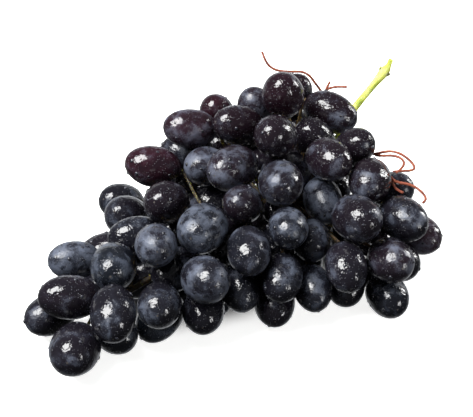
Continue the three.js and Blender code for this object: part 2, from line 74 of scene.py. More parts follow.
# Vectors as plain tuples, so that the layout keeps full precision
def dot(a: Vec, b: Vec) -> float:
    """Scalar product of two vectors."""
    return a[0] * b[0] + a[1] * b[1] + a[2] * b[2]


def sub(a: Vec, b: Vec) -> Vec:
    """The vector from b to a."""
    return (a[0] - b[0], a[1] - b[1], a[2] - b[2])


def add(a: Vec, b: Vec, k: float = 1.0) -> Vec:
    """a plus k times b."""
    return (a[0] + b[0] * k, a[1] + b[1] * k, a[2] + b[2] * k)


def size(a: Vec) -> float:
    """Length of a vector."""
    return math.sqrt(dot(a, a))


def unit(a: Vec) -> Vec:
    """The vector of length 1 along a."""
    n = size(a)
    return (a[0] / n, a[1] / n, a[2] / n)


def cross(a: Vec, b: Vec) -> Vec:
    """Vector product of two vectors."""
    return (a[1] * b[2] - a[2] * b[1], a[2] * b[0] - a[0] * b[2], a[0] * b[1] - a[1] * b[0])


def between(a: Vec, b: Vec, k: float) -> Vec:
    """The point a part k of the way from a to b."""
    return add(a, sub(b, a), k)


def along(p: Vec, a: Vec, b: Vec, low: float) -> float:
    """The part of the way from a to b that lies nearest to p, no less than low."""
    d = sub(b, a)
    return max(low, min(1.0, dot(sub(p, a), d) / dot(d, d)))


def nearest(p: Vec, points: list[Vec]) -> tuple[int, float]:
    """The point of a list nearest to p.

    Args:
        p: The place to measure from.
        points: The points to choose from.

    Returns:
        The point's index and its distance.
    """
    best, index = math.inf, 0
    for i, q in enumerate(points):
        x, y, z = p[0] - q[0], p[1] - q[1], p[2] - q[2]
        gap = x * x + y * y + z * z
        if gap < best:
            best, index = gap, i
    return index, math.sqrt(best)


def draws(seed: int) -> Draw:
    """A repeatable run of numbers between 0 and 1.

    Args:
        seed: Where the run starts.

    Returns:
        A function that gives the next number.
    """
    state = [seed]

    def draw() -> float:
        """The next number of the run."""
        state[0] = (state[0] * DRAW_FACTOR + DRAW_STEP) % DRAW_RANGE
        return state[0] / DRAW_RANGE

    return draw


def read_table(table: list[tuple[float, ...]], key: float) -> tuple[float, ...]:
    """Reads a row of numbers from a table by its first column.

    Args:
        table: Rows in rising order of their first number.
        key: The value to look up.

    Returns:
        The other numbers of the row, blended between neighbours.
    """
    if key <= table[0][0]:
        return table[0][1:]
    for a, b in zip(table, table[1:]):
        if key <= b[0]:
            k = (key - a[0]) / (b[0] - a[0])
            return tuple(x + (y - x) * k for x, y in zip(a[1:], b[1:]))
    return table[-1][1:]


def smooth_points(places: list[Vec], per_span: int) -> list[Vec]:
    """Points along a smooth line through a few places.

    Args:
        places: The places that the line passes through.
        per_span: How many points each span gets.

    Returns:
        The points, from the first place to the last.
    """
    out = []
    for i in range(len(places) - 1):
        b, c = places[i], places[i + 1]
        a = places[i - 1] if i > 0 else add(b, sub(c, b), -1.0)
        d = places[i + 2] if i + 2 < len(places) else add(c, sub(b, c), -1.0)
        for k in range(per_span):
            t = k / per_span
            out.append(tuple(
                0.5 * (2 * b[j] + (c[j] - a[j]) * t
                       + (2 * a[j] - 5 * b[j] + 4 * c[j] - d[j]) * t * t
                       + (3 * b[j] - a[j] - 3 * c[j] + d[j]) * t * t * t)
                for j in range(3)))
    out.append(places[-1])
    return out


@dataclass(frozen=True)
class Sight:
    """The view that the berries were read in: its step, elevation, distance and height, in mm and radians."""

    step: float = 0.49
    elevation: float = math.radians(35)
    distance: float = 700.0
    height: float = 44.0

    @property
    def sin(self) -> float:
        """Sine of the elevation."""
        return math.sin(self.elevation)

    @property
    def cos(self) -> float:
        """Cosine of the elevation."""
        return math.cos(self.elevation)

    def place(self, u: float, v: float, w: float) -> Vec:
        """The place in the bunch that is seen u across, v up and w toward the eye."""
        k = 1 - w / self.distance
        return (u * k, v * k * SIN - w * COS, self.height + v * k * COS + w * SIN)

    def seen(self, p: Vec) -> Vec:
        """Where a place in the bunch is seen.

        Args:
            p: The place, in mm.

        Returns:
            How far across, up and toward the eye it lies.
        """
        z = p[2] - self.height
        w = -p[1] * COS + z * SIN
        k = 1 - w / self.distance
        return (p[0] / k, (p[1] * SIN + z * COS) / k, w)


SIGHT = Sight()
SIN, COS = SIGHT.sin, SIGHT.cos
# The solids are moved by this so that their box is centred over the origin
SHIFT: Vec = (-1.38, -5.39, 0.0)
# Steps, and the turn at each, in the search for the plane that parts two berries
GAP_STEPS = 8
GAP_TURN = 0.03
# How far in the stem goes, as a share of the berry's length, and how finely a rod is felt along, in mm
STEM_AT = 0.46
ROD_STEP = 0.8
# Where a berry's stem starts along its side stem before a better place is found
FIRST_START = 0.6


def metres(p: Vec) -> Vector:
    """A place of the layout as a point of the model."""
    return Vector(add(p, SHIFT)) * MM


def rod_steps(p: Vec, q: Vec) -> int:
    """How many steps a rod from p to q is felt along in."""
    return max(2, int(size(sub(q, p)) / ROD_STEP))


@dataclass
class Berry:
    """One berry.

    Attributes:
        c: Its middle, in mm.
        axis: The way it points, from its stem to its blunt end.
        dia: Its width.
        len: Its length.
        u, v, w: Where it is seen across, up and toward the eye.
        home: Where it was read before it was pressed aside.
        slant: The way it slants in the view, in degrees, where that was read.
        share: The share of its length that is seen side-on.
        spray: The side stem that it grows on.
        start: Where along the side stem its own stem starts.
        tried: How many side stems it has tried.
        ruddy: How red it is under the blue.
        waxy: How much bloom it has, where that was read.
    """

    c: Vec
    axis: Vec
    dia: float
    len: float
    u: float = 0.0
    v: float = 0.0
    w: float = 0.0
    home: Vec = (0.0, 0.0, 0.0)
    slant: Optional[float] = None
    share: float = 0.0
    spray: int = 0
    start: float = FIRST_START
    tried: int = 0
    ruddy: float = 0.0
    waxy: Optional[float] = None

    def reach(self, n: Vec, margin: float) -> float:
        """How far the skin, grown by a margin, lies from the middle along a direction.

        Args:
            n: The direction.
            margin: How much the skin is grown.

        Returns:
            The distance in mm.
        """
        k = dot(self.axis, n)
        a, r = self.len / 2 + margin, self.dia / 2 + margin
        return 1 / math.sqrt(k * k / (a * a) + (1 - k * k) / (r * r))

    def farthest(self, n: Vec) -> Vec:
        """The point of the berry that lies farthest along a direction.

        Args:
            n: The direction.

        Returns:
            The point, from the middle of the berry.
        """
        rr = self.dia * self.dia / 4
        k = dot(self.axis, n) * (self.len * self.len / 4 - rr)
        far = add((n[0] * rr, n[1] * rr, n[2] * rr), self.axis, k)
        h = math.sqrt(dot(far, n))
        return (far[0] / h, far[1] / h, far[2] / h)

    def gap_to(self, other: "Berry", enough: float) -> float:
        """The gap to another berry, across the plane that parts them best.

        Args:
            other: The other berry.
            enough: A gap at which the search stops.

        Returns:
            The gap in mm, less than 0 where they overlap.
        """
        d = sub(other.c, self.c)
        n = unit(d)
        best = -math.inf
        for _ in range(GAP_STEPS):
            across = sub(sub(d, self.farthest(n)), other.farthest(n))
            gap = dot(across, n)
            best = max(best, gap)
            if best >= enough:
                break
            n = unit(add(n, add(across, n, -gap), GAP_TURN))
        return best

    def rest_height(self, sink: float) -> float:
        """How high the middle lies when the berry rests on the table."""
        return self.farthest((0.0, 0.0, 1.0))[2] - sink

    def depth(self, p: Vec, margin: float) -> float:
        """How far out of the berry a place lies.

        Args:
            p: The place.
            margin: How much the skin is grown.

        Returns:
            The part of the way from the middle to the grown skin.
        """
        x = sub(p, self.c)
        k = dot(x, self.axis)
        wide, tall = self.dia / 2 + margin, self.len / 2 + margin
        return math.sqrt(max(0.0, k * k / (tall * tall) + (dot(x, x) - k * k) / (wide * wide)))

    def stem_end(self) -> Vec:
        """Where the berry's own stem goes in."""
        return add(self.c, self.axis, -self.len * STEM_AT)

    def pierced(self, p: Vec, q: Vec, radius: float) -> bool:
        """Whether a rod touches the berry.

        Args:
            p: The rod's start.
            q: The rod's end.
            radius: The rod's radius.

        Returns:
            True where it touches.
        """
        n = rod_steps(p, q)
        return any(self.depth(between(p, q, i / n), radius) < 1 for i in range(n + 1))


@dataclass
class Lateral:
    """A side stem: the rachis's way there, its base on the rachis, its root beside it, and its end."""

    ahead: Vec
    base: Vec
    root: Vec
    end: Vec


@dataclass
class Wood:
    """The rachis, from inside the tip to the shoulder, and the stalk that leads on to the cut end."""

    tip: Vec = (-64.0, -40.0, 15.0)
    bend: Vec = (2.0, 8.0, 27.0)
    shoulder: Vec = (46.0, 50.0, 38.0)
    stalk: tuple[Vec, ...] = (
        (46.0, 50.0, 38.0), (55.0, 65.0, 47.0), (61.6, 74.9, 55.1), (78.3, 89.1, 70.1), (82.2, 94.5, 74.3))
    steps: int = 40
    span_steps: int = 8
    look: float = 0.02
    radius: float = 2.4
    rachis: list[Vec] = field(default_factory=list)
    points: list[Vec] = field(default_factory=list)

    def __post_init__(self) -> None:
        """Lays the points that berries and stems keep clear of."""
        self.rachis = [self.at(i / self.steps) for i in range(self.steps + 1)]
        self.points = list(self.rachis)
        for a, b in zip(self.stalk, self.stalk[1:]):
            self.points += [between(a, b, k / self.span_steps) for k in range(1, self.span_steps + 1)]

    def at(self, t: float) -> Vec:
        """The place a part t of the way along the rachis."""
        p, q, r = (1 - t) * (1 - t), 2 * t * (1 - t), t * t
        return tuple(self.tip[i] * p + self.bend[i] * q + self.shoulder[i] * r for i in range(3))

    def frame(self, t: float) -> tuple[Vec, Vec, Vec]:
        """The directions at a place on the rachis.

        Args:
            t: The part of the way along the rachis.

        Returns:
            The directions ahead, to the side and up.
        """
        ahead = unit(sub(self.at(min(1.0, t + self.look)), self.at(max(0.0, t - self.look))))
        side = unit((ahead[1], -ahead[0], 0.0))
        return ahead, side, cross(side, ahead)


@dataclass
class Bunch:
    """Places every berry and side stem by the same rule as the solids, in mm."""

    # The usual berry, how much sizes differ, and how clear berries keep of one another and the table
    diameter: float = 20.8
    length: float = 30.0
    spread: float = 0.06
    clearance: float = 0.4
    press_clearance: float = 0.7
    table_sink: float = 0.45
    touch_range: float = 36.0
    wood_range: float = 21.0
    lean: float = 0.33
    # Seen berries: where they are looked for along the line of sight, and how they are pressed apart
    seen_seed: int = 7
    sight_near: float = 90.0
    sight_step: float = 0.5
    sight_steps: int = 381
    layer_depth: float = 9.0
    settle_rounds: int = 600
    push: float = 0.5
    give_front: float = 0.25
    give_back: float = 0.75
    slide_age: float = 0.4
    late_age: float = 0.8
    slide: float = 0.08
    slide_late: float = 0.5
    pull: float = 0.06
    pull_late: float = 0.008
    pull_depth: float = 0.004
    # Hidden berries: how often they are tried, by two even sequences, and how well they are covered
    hidden_seed: int = 23
    hidden_tries: int = 1400
    hidden_along: float = 0.7548777
    hidden_round: float = 0.5698403
    hidden_nearest: float = 12.0
    hidden_margin: float = 4.0
    outline_points: int = 12
    outline_share: float = 0.42
    # Small berries in the chinks
    chink_seed: int = 41
    chink_rows: int = 17
    chink_columns: int = 24
    chink_near: int = 40
    chink_far: int = -60
    chink_step: float = 4.0
    chink_scales: tuple[float, ...] = (0.98, 0.82, 0.68, 0.55)
    chink_depth: float = 3.0
    chink_margin: float = 2.5
    chink_bare: int = 1
    # Side stems: where along the rachis they root, how they turn round it, and how they reach their berries
    spray_count: int = 14
    spray_from: float = 0.04
    spray_span: float = 0.94
    spray_turn: float = GOLDEN_ANGLE
    spray_start: float = 0.6
    spray_lean: float = -0.35
    spray_length: float = 24.0
    spray_rounds: int = 6
    far_weight: float = 0.35
    shortest_lateral: float = 10.0
    lateral_share: float = 0.9
    lateral_radius: float = 1.5
    pedicel_radius: float = 1.0
    lowest_start: float = 0.3
    starts: tuple[float, ...] = (1.0, 0.8, 0.6, 0.45, 0.3)
    untangle_turns: int = 20
    stub_length: float = 5.0
    # The dome's line over the table, and its skirt past its edge
    dome_tip: tuple[float, float] = (-91.0, -48.0)
    dome_way: tuple[float, float] = (0.839, 0.544)
    skirt_drop: float = 1.0
    skirt_slope: float = 0.6
    wood: Wood = field(default_factory=Wood)
    seen: list[Berry] = field(default_factory=list)
    berries: list[Berry] = field(default_factory=list)
    laterals: list[Lateral] = field(default_factory=list)

    # Seen berries: place across and up in steps of the view, the way the berry slants in degrees,
    # the share of its length seen side-on, and its size against the usual one
    FRONT = (
        (-120, -54, -90, 0.25, 1.06), (-120, -106, -85, 0.72, 1.02), (-166, -88, 178, 0.92, 1.0),
        (-74, -46, -60, 0.2, 0.95), (-28, -22, -140, 0.4, 1.1), (-36, -68, -25, 0.35, 1.05),
        (14, -44, -80, 0.55, 0.98), (52, -20, -90, 0.25, 0.93), (42, 24, -90, 0.2, 1.04),
        (-70, 6, 180, 0.35, 1.0), (120, -12, -35, 0.4, 1.07), (154, -52, -40, 0.35, 1.02),
        (132, 28, -110, 0.4, 1.0), (40, 68, 180, 0.25, 1.0), (44, 112, 100, 0.4, 1.02),
        (-4, 40, 205, 0.6, 1.06), (92, 48, -35, 0.5, 1.0), (-114, -12, 150, 0.4, 1.04),
        (-83, 42, 170, 0.95, 0.99), (2, 84, 175, 0.8, 0.95), (4, 0, 180, 0.25, 0.9),
        (42, -68, -100, 0.62, 0.95), (110, -56, -80, 0.72, 0.95), (166, -10, -35, 0.6, 1.02),
        (-78, -92, -90, 0.25, 0.98), (-160, -140, -110, 0.3, 1.12))
    MIDDLE = (
        (-162, -52, 180, 0.85, 0.92), (-46, 78, 178, 0.92, 0.95), (90, 90, -25, 0.95, 1.0),
        (78, 8, -75, 0.7, 0.93), (-38, -99, -90, 0.5, 0.96), (0, -76, -90, 0.7, 0.95),
        (38, -94, -90, 0.6, 0.95), (76, -72, -80, 0.7, 0.9), (110, -75, -90, 0.6, 0.95),
        (150, -82, -60, 0.5, 0.96), (76, -32, -90, 0.5, 0.9), (-110, -118, -30, 0.5, 0.95),
        (-186, -106, 200, 0.7, 0.95), (-114, 2, 170, 0.6, 0.95), (-20, 95, 120, 0.4, 0.85),
        (-30, 42, 180, 0.5, 0.95), (22, 102, 120, 0.5, 0.92), (58, 110, 60, 0.5, 0.9),
        (110, 62, 30, 0.5, 0.9), (182, -26, -30, 0.6, 0.95), (160, -56, -30, 0.5, 0.95),
        (156, 18, 20, 0.5, 0.9))
    # Berries glimpsed between the others point straight away from the stem
    BACK = (
        (-76, -102), (-22, 4), (-6, -32), (-58, -22), (-96, -32), (-124, -38),
        (-48, 58), (58, 86), (-68, -70), (62, 40), (-10, 62), (-94, -66), (84, 66))
    # Seen berries, by their order above, that are red under the blue, and those with more or less bloom
    RED = {18: 0.58, 27: 0.5, 40: 0.55, 45: 0.75, 14: 0.25, 9: 0.08, 2: 0.12, 11: 0.2}
    BLOOM = {26: 0.45, 3: 0.42, 29: 0.38, 41: 0.4, 5: 0.3, 4: 0.33, 7: 0.26, 8: 0.24, 6: 0.15, 27: 0.28,
             45: 0.22, 10: 0.18, 15: 0.26, 1: 0.15, 2: 0.1, 9: 0.06, 12: 0.08, 13: 0.06, 14: 0.04, 16: 0.14,
             0: 0.22, 17: 0.14, 20: 0.16, 22: 0.14, 23: 0.16, 24: 0.2, 25: 0.13, 30: 0.14, 32: 0.16, 33: 0.15,
             35: 0.16, 37: 0.12}
    # The dome of berry centres: station from the tip, height, half-width in front and behind
    DOME = [
        (-25, 20, 20, 16), (0, 24, 30, 22), (40, 36, 42, 38), (90, 54, 54, 52),
        (120, 66, 62, 54), (160, 68, 74, 44), (195, 46, 62, 26)]
    # How far from the rachis the hidden berries start, by the part of its length
    REACH = [(0.0, 26.0), (0.35, 38.0), (0.7, 48.0), (1.0, 50.0)]

    def grow(self) -> None:
        """Places the berries, then the side stems, then frees the stems from one another."""
        self.seen = self.seen_berries()
        self.berries = self.hidden_berries()
        self.fill_chinks()
        self.lay_laterals()
        self.untangle()
        for i, ruddy in self.RED.items():
            self.seen[i].ruddy = ruddy
        for i, waxy in self.BLOOM.items():
            self.seen[i].waxy = waxy

    def sprays(self) -> list[tuple[Lateral, list[Berry]]]:
        """Each side stem that bears berries, with its berries."""
        pairs = [(stem, [b for b in self.berries if b.spray == k]) for k, stem in enumerate(self.laterals)]
        return [(stem, own) for stem, own in pairs if own]

    def above_dome(self, p: Vec) -> float:
        """How far a place lies above the dome of berry centres.

        Args:
            p: The place.

        Returns:
            The height above the dome, less than 0 below it.
        """
        rx, ry = p[0] - self.dome_tip[0], p[1] - self.dome_tip[1]
        station = rx * self.dome_way[0] + ry * self.dome_way[1]
        offset = ry * self.dome_way[0] - rx * self.dome_way[1]
        height, front, back = read_table(self.DOME, station)
        width = back if offset > 0 else front
        q = 1 - (offset / width) * (offset / width)
        rest = self.diameter / 2
        if q > 0:
            return p[2] - (rest + (height - rest) * math.sqrt(q))
        return p[2] - rest + self.skirt_drop + self.skirt_slope * (abs(offset) - width)

    def pointing(self, c: Vec) -> Vec:
        """The way a berry points: away from a place on the rachis nearer to the stalk."""
        i, _ = nearest(c, self.wood.rachis)
        return unit(sub(c, self.wood.at(min(1.0, i / self.wood.steps + self.lean))))

    def new_berry(self, c: Vec, scale: float) -> Berry:
        """A berry of a given scale at a place."""
        return Berry(c, self.pointing(c), self.diameter * scale, self.length * scale)

    def seen_berries(self) -> list[Berry]:
        """The berries seen from the front, set on the dome and then pressed apart.

        Returns:
            The berries, in the order of the lists above.
        """
        draw = draws(self.seen_seed)
        out: list[Berry] = []
        for layer, group in enumerate((self.FRONT, self.MIDDLE, self.BACK)):
            for across, up, *read in group:
                u, v = across * SIGHT.step, up * SIGHT.step
                best, w = math.inf, 0.0
                for i in range(self.sight_steps):
                    here = self.sight_near - self.sight_step * i
                    miss = self.above_dome(SIGHT.place(u, v, here))
                    if miss < best:
                        best, w = miss, here
                    if miss <= 0:
                        break
                w -= layer * self.layer_depth
                scale = read[2] if read else 1 + self.spread * (2 * draw() - 1)
                b = self.new_berry(SIGHT.place(u, v, w), scale)
                b.u, b.v, b.w, b.home = u, v, w, (u, v, w)
                b.slant, b.share = (read[0], read[1]) if read else (None, 0.0)
                out.append(b)
        for turn in range(self.settle_rounds):
            self.press_apart(out, turn / self.settle_rounds)
            for b in out:
                self.settle(b, turn / self.settle_rounds)
        return out

    def press_apart(self, berries: list[Berry], age: float) -> None:
        """Moves berries that touch apart, mostly along the line of sight.

        Args:
            berries: The berries to move.
            age: The part of the settling that is over.
        """
        for i, a in enumerate(berries):
            for b in berries[i + 1:]:
                gap = size(sub(b.c, a.c))
                if gap > self.touch_range:
                    continue
                need = gap + self.press_clearance - a.gap_to(b, self.press_clearance)
                if gap >= need:
                    continue
                du, dv, dw = a.u - b.u, a.v - b.v, a.w - b.w
                flat = math.sqrt(du * du + dv * dv)
                want = math.sqrt(max(0.0, need * need - flat * flat))
                push = (want - abs(dw)) * self.push
                if push > 0:
                    a.w += push * self.give_front if dw >= 0 else -push * self.give_back
                    b.w -= push * self.give_back if dw >= 0 else -push * self.give_front
                if age > self.slide_age:
                    ease = self.slide if age < self.late_age else self.slide_late
                    slide = (need - gap) * ease / max(flat, 0.001)
                    a.u += slide * du
                    a.v += slide * dv
                    b.u -= slide * du
                    b.v -= slide * dv
                a.c = SIGHT.place(a.u, a.v, a.w)
                b.c = SIGHT.place(b.u, b.v, b.w)

    def settle(self, b: Berry, age: float) -> None:
        """Keeps a berry off the rachis and the table, and draws it back to where it is seen.

        Args:
            b: The berry.
            age: The part of the settling that is over.
        """
        i, short = self.wood_short(b)
        if short > 0:
            b.w += short * (1 if b.w >= SIGHT.seen(self.wood.points[i])[2] else -1)
        pull = self.pull if age < self.late_age else self.pull_late
        b.w += (b.home[2] - b.w) * self.pull_depth
        b.u += (b.home[0] - b.u) * pull
        b.v += (b.home[1] - b.v) * pull
        low = b.rest_height(self.table_sink)
        b.c = SIGHT.place(b.u, b.v, b.w)
        if b.c[2] < low:
            b.w += (low - b.c[2]) / SIN
            b.c = SIGHT.place(b.u, b.v, b.w)
        if b.slant is None:
            b.axis = self.pointing(b.c)
        else:
            a = b.slant * math.pi / 180
            u, v, w = math.cos(a) * b.share, math.sin(a) * b.share, math.sqrt(1 - b.share * b.share)
            b.axis = (u, v * SIN - w * COS, v * COS + w * SIN)

    def wood_short(self, b: Berry) -> tuple[int, float]:
        """Finds where a berry comes too close to the wood.

        Args:
            b: The berry.

        Returns:
            The index of the wood's point, and how much room is missing, which is 0 where none is.
        """
        index, worst = -1, 0.0
        for i, q in enumerate(self.wood.points):
            d = sub(b.c, q)
            gap = size(d)
            if gap < self.wood_range:
                short = b.reach(unit(d), self.wood.radius + self.clearance * 2) - gap
                if short > worst:
                    index, worst = i, short
        return index, worst

    def is_free(self, b: Berry, berries: list[Berry]) -> bool:
        """Whether a berry touches no other and keeps off the rachis.

        Args:
            b: The berry.
            berries: The others.

        Returns:
            True where it is free.
        """
        for o in berries:
            if size(sub(o.c, b.c)) < self.touch_range and b.gap_to(o, self.clearance) < self.clearance:
                return False
        return self.wood_short(b)[1] <= 0

    def is_covered(self, b: Berry, grow: float, few: int) -> bool:
        """Whether a berry lies behind the seen ones.

        Args:
            b: The berry.
            grow: How much the seen berries are grown.
            few: How many points of its outline may show.

        Returns:
            True where no more than those show.
        """
        u, v, w = SIGHT.seen(b.c)
        bare = 0
        half = self.outline_points / 2
        for i in range(self.outline_points + 1):
            r = 0.0 if i == self.outline_points else b.dia * self.outline_share
            pu = u + r * math.cos(i * math.pi / half)
            pv = v + r * math.sin(i * math.pi / half)
            if not any(
                (pu - s.u) * (pu - s.u) + (pv - s.v) * (pv - s.v)
                < (s.dia / 2 + grow) * (s.dia / 2 + grow) and s.w > w
                for s in self.seen
            ):
                bare += 1
        return bare <= few

    def hidden_berries(self) -> list[Berry]:
        """The seen berries and those behind, which come in toward the rachis until one stops them.

        Returns:
            All of them, the seen ones first.
        """
        draw = draws(self.hidden_seed)
        out = list(self.seen)
        for k in range(self.hidden_tries):
            t = (k * self.hidden_along) % 1.0
            turn = 2 * math.pi * ((k * self.hidden_round) % 1.0)
            _, side, up = self.wood.frame(t)
            way = add((side[0] * math.cos(turn), side[1] * math.cos(turn), 0.0), up, math.sin(turn))
            scale = 1 + self.spread * (2 * draw() - 1)
            best = None
            r = read_table(self.REACH, t)[0]
            while r > self.hidden_nearest:
                c = add(self.wood.at(t), way, r)
                b = self.new_berry(c, scale)
                b.c = (c[0], c[1], max(c[2], b.rest_height(self.table_sink)))
                if not self.is_free(b, out):
                    break
                best = b
                r -= 1
            if best and self.is_covered(best, self.hidden_margin, 0):
                out.append(best)
        return out

    def fill_chinks(self) -> None:
        """Adds smaller berries that close the chinks an eye could look through."""
        draw = draws(self.chink_seed)
        for row in range(-self.chink_rows, self.chink_rows + 1):
            for column in range(-self.chink_columns, self.chink_columns + 1):
                u, v = column * self.chink_step, -row * self.chink_step
                if self.is_shut(u, v):
                    continue
                for most in self.chink_scales:
                    b = self.sink_in(u, v, most - self.spread * draw())
                    if b and self.is_covered(b, self.chink_margin, self.chink_bare):
                        self.berries.append(b)
                        break

    def is_shut(self, u: float, v: float) -> bool:
        """Whether a line of sight meets a berry.

        Args:
            u: How far across it lies.
            v: How far up it lies.

        Returns:
            True where it does.
        """
        for b in self.berries:
            across, up, _ = SIGHT.seen(b.c)
            if (u - across) * (u - across) + (v - up) * (v - up) < b.dia * b.dia / 4:
                return True
        return False

    def sink_in(self, u: float, v: float, scale: float) -> Optional[Berry]:
        """A berry slid in along a line of sight to the first place where it fits under the dome.

        Args:
            u: How far across the line lies.
            v: How far up it lies.
            scale: The berry's size against the usual one.

        Returns:
            The berry, or nothing where none fits.
        """
        for w in range(self.chink_near, self.chink_far, -1):
            c = SIGHT.place(u, v, w)
            b = self.new_berry(c, scale)
            if c[2] < b.rest_height(self.table_sink):
                return None
            if self.above_dome(c) < -self.chink_depth and self.is_free(b, self.berries):
                return b
        return None

    def lay_laterals(self) -> None:
        """Lays the side stems round the rachis, each drawn to the middle of the berries nearest to it."""
        for k in range(self.spray_count):
            t = self.spray_from + self.spray_span * k / (self.spray_count - 1)
            ahead, side, up = self.wood.frame(t)
            turn = k * self.spray_turn + self.spray_start
            out = add((side[0] * math.cos(turn), side[1] * math.cos(turn), 0.0), up, math.sin(turn))
            base = self.wood.at(t)
            end = add(base, unit(add(out, ahead, self.spray_lean)), self.spray_length)
            self.laterals.append(Lateral(ahead, base, base, end))
        for _ in range(self.spray_rounds):
            for b in self.berries:
                e = b.stem_end()
                best = math.inf
                for k, stem in enumerate(self.laterals):
                    q = between(stem.base, stem.end, along(e, stem.base, stem.end, 0.0))
                    gap = size(sub(e, q)) + self.far_weight * size(sub(b.c, q))
                    if gap < best:
                        best, b.spray = gap, k
            for k, stem in enumerate(self.laterals):
                own = [b.stem_end() for b in self.berries if b.spray == k]
                if own:
                    total: Vec = (0.0, 0.0, 0.0)
                    for p in own:
                        total = add(total, p)
                    d = sub((total[0] / len(own), total[1] / len(own), total[2] / len(own)), stem.base)
                    reach = max(self.shortest_lateral, size(d) * self.lateral_share)
                    stem.end = add(stem.base, unit(d), reach)
        for stem in self.laterals:
            d = unit(sub(stem.end, stem.base))
            lean = dot(d, stem.ahead)
            out = unit(add(d, stem.ahead, -lean))
            off = self.wood.radius + self.clearance * 2 + self.lateral_radius * abs(lean)
            stem.root = add(stem.base, out, off)

    def crosses_wood(self, p: Vec, q: Vec) -> bool:
        """Whether a berry's own stem touches the rachis.

        Args:
            p: The stem's start.
            q: The stem's end.

        Returns:
            True where it touches.
        """
        n = rod_steps(p, q)
        need = self.wood.radius + self.pedicel_radius + self.clearance * 2
        return any(nearest(between(p, q, i / n), self.wood.points)[1] < need for i in range(n + 1))

    def clear_start(self, b: Berry) -> int:
        """Finds where on its side stem a berry's own stem can start.

        Args:
            b: The berry.

        Returns:
            -1, or the spray that the berry has to join because its own is cut off.
        """
        stem = self.laterals[b.spray]
        e = b.stem_end()
        first = along(e, stem.root, stem.end, self.lowest_start)
        margin = self.pedicel_radius + self.clearance
        hit = None
        for k in (first, *self.starts):
            p = between(stem.root, stem.end, k)
            hit = next((o for o in self.berries if o.spray != b.spray and o.pierced(p, e, margin)), None)
            if not hit and not self.crosses_wood(p, e):
                b.start = k
                return -1
        b.start = first
        if hit:
            return hit.spray
        order = sorted((size(sub(other.end, e)), k) for k, other in enumerate(self.laterals))
        b.tried += 1
        return order[b.tried % len(order)][1]

    def untangle(self) -> None:
        """Stops side stems short of other sprays' berries, and lets a shut-in berry join its neighbour."""
        margin = self.lateral_radius + self.clearance
        for _ in range(self.untangle_turns):
            moved = 0
            for k, stem in enumerate(self.laterals):
                others = [b for b in self.berries if b.spray != k]
                blocked = next((b for b in others if b.pierced(stem.root, stem.end, margin)), None)
                while blocked and size(sub(stem.end, stem.root)) > self.stub_length:
                    stem.end = add(stem.end, unit(sub(stem.root, stem.end)), 1)
                    moved += 1
                    blocked = next((b for b in others if b.pierced(stem.root, stem.end, margin)), None)
                if blocked:
                    blocked.spray = k
                    moved += 1
            for b in self.berries:
                other = self.clear_start(b)
                if other >= 0:
                    b.spray, b.start = other, FIRST_START
                    moved += 1
            if moved == 0:
                return


# Materials
def linear(code: str) -> tuple[float, float, float, float]:
    """An sRGB hex colour as linear red, green, blue and alpha."""
    parts = [int(code[i:i + 2], 16) / 255 for i in (1, 3, 5)]
    return (*(p / 12.92 if p <= 0.04045 else ((p + 0.055) / 1.055) ** 2.4 for p in parts), 1.0)


def per_metre(millimetres: float) -> float:
    """The scale of a pattern whose features are a given size."""
    return 1.0 / (millimetres * MM)


class Kind(Enum):
    """Kinds of node: type, settings, inputs in the order they are given, and the output that is read."""

    PLACE = ("TexCoord", {}, (), "Object")
    CARRIED = ("Attribute", {}, (), "Fac")
    NOISE = ("TexNoise", {}, ("Vector", "Scale", "Detail", "Roughness", "Distortion"), "Fac")
    CELLS = ("TexVoronoi", {}, ("Vector", "Scale"), "Distance")
    RED_PART = ("SeparateColor", {}, (0,), 0)
    EASE = ("MapRange", {"interpolation_type": "SMOOTHSTEP"},
            ("Value", "From Min", "From Max", "To Min", "To Max"), "Result")
    MIX = ("Mix", {"data_type": "RGBA"}, (0, 6, 7), 2)
    PLUS = ("Math", {"operation": "ADD"}, (0, 1), 0)
    TIMES = ("Math", {"operation": "MULTIPLY"}, (0, 1), 0)
    OVER = ("Math", {"operation": "DIVIDE"}, (0, 1), 0)
    BUMP = ("Bump", {}, ("Height", "Strength", "Distance", "Normal"), 0)
    OVAL = ("Mapping", {"vector_type": "TEXTURE"}, ("Vector", "Location", "Rotation", "Scale"), 0)
    LENGTH = ("VectorMath", {"operation": "LENGTH"}, (0,), "Value")
    # For the room's light alone
    DIRECTION = ("TexCoord", {}, (), "Generated")
    FACING = ("VectorMath", {"operation": "DOT_PRODUCT"}, (0, 1), "Value")
    HEIGHT = ("SeparateXYZ", {}, (0,), "Z")
    BACKDROP = ("Background", {}, ("Color", "Strength"), 0)
    CAMERA_RAY = ("LightPath", {}, (), "Is Camera Ray")
    EITHER = ("MixShader", {}, (0, 1, 2), 0)


def plug(made: bpy.types.Node, inputs: dict) -> None:
    """Links or sets the inputs of a node.

    Args:
        made: The node.
        inputs: For each input, by name or number, a socket to link or a value to set.
    """
    for name, value in inputs.items():
        if isinstance(value, Socket):
            made.id_data.links.new(value, made.inputs[name])
        else:
            made.inputs[name].default_value = value


def node(tree: bpy.types.NodeTree, kind: Kind, *values: object, **settings: object) -> Socket:
    """Adds a node with its settings and links.

    Args:
        tree: The node tree to add to.
        kind: The kind of node.
        *values: For each of the kind's inputs in order, a socket to link or a value to set.
        **settings: Further properties of the node.

    Returns:
        The output that is read.
    """
    type_name, fixed, inputs, output = kind.value
    made = tree.nodes.new(f"ShaderNode{type_name}")
    for name, value in {**fixed, **settings}.items():
        setattr(made, name, value)
    plug(made, dict(zip(inputs, values)))
    return made.outputs[output]


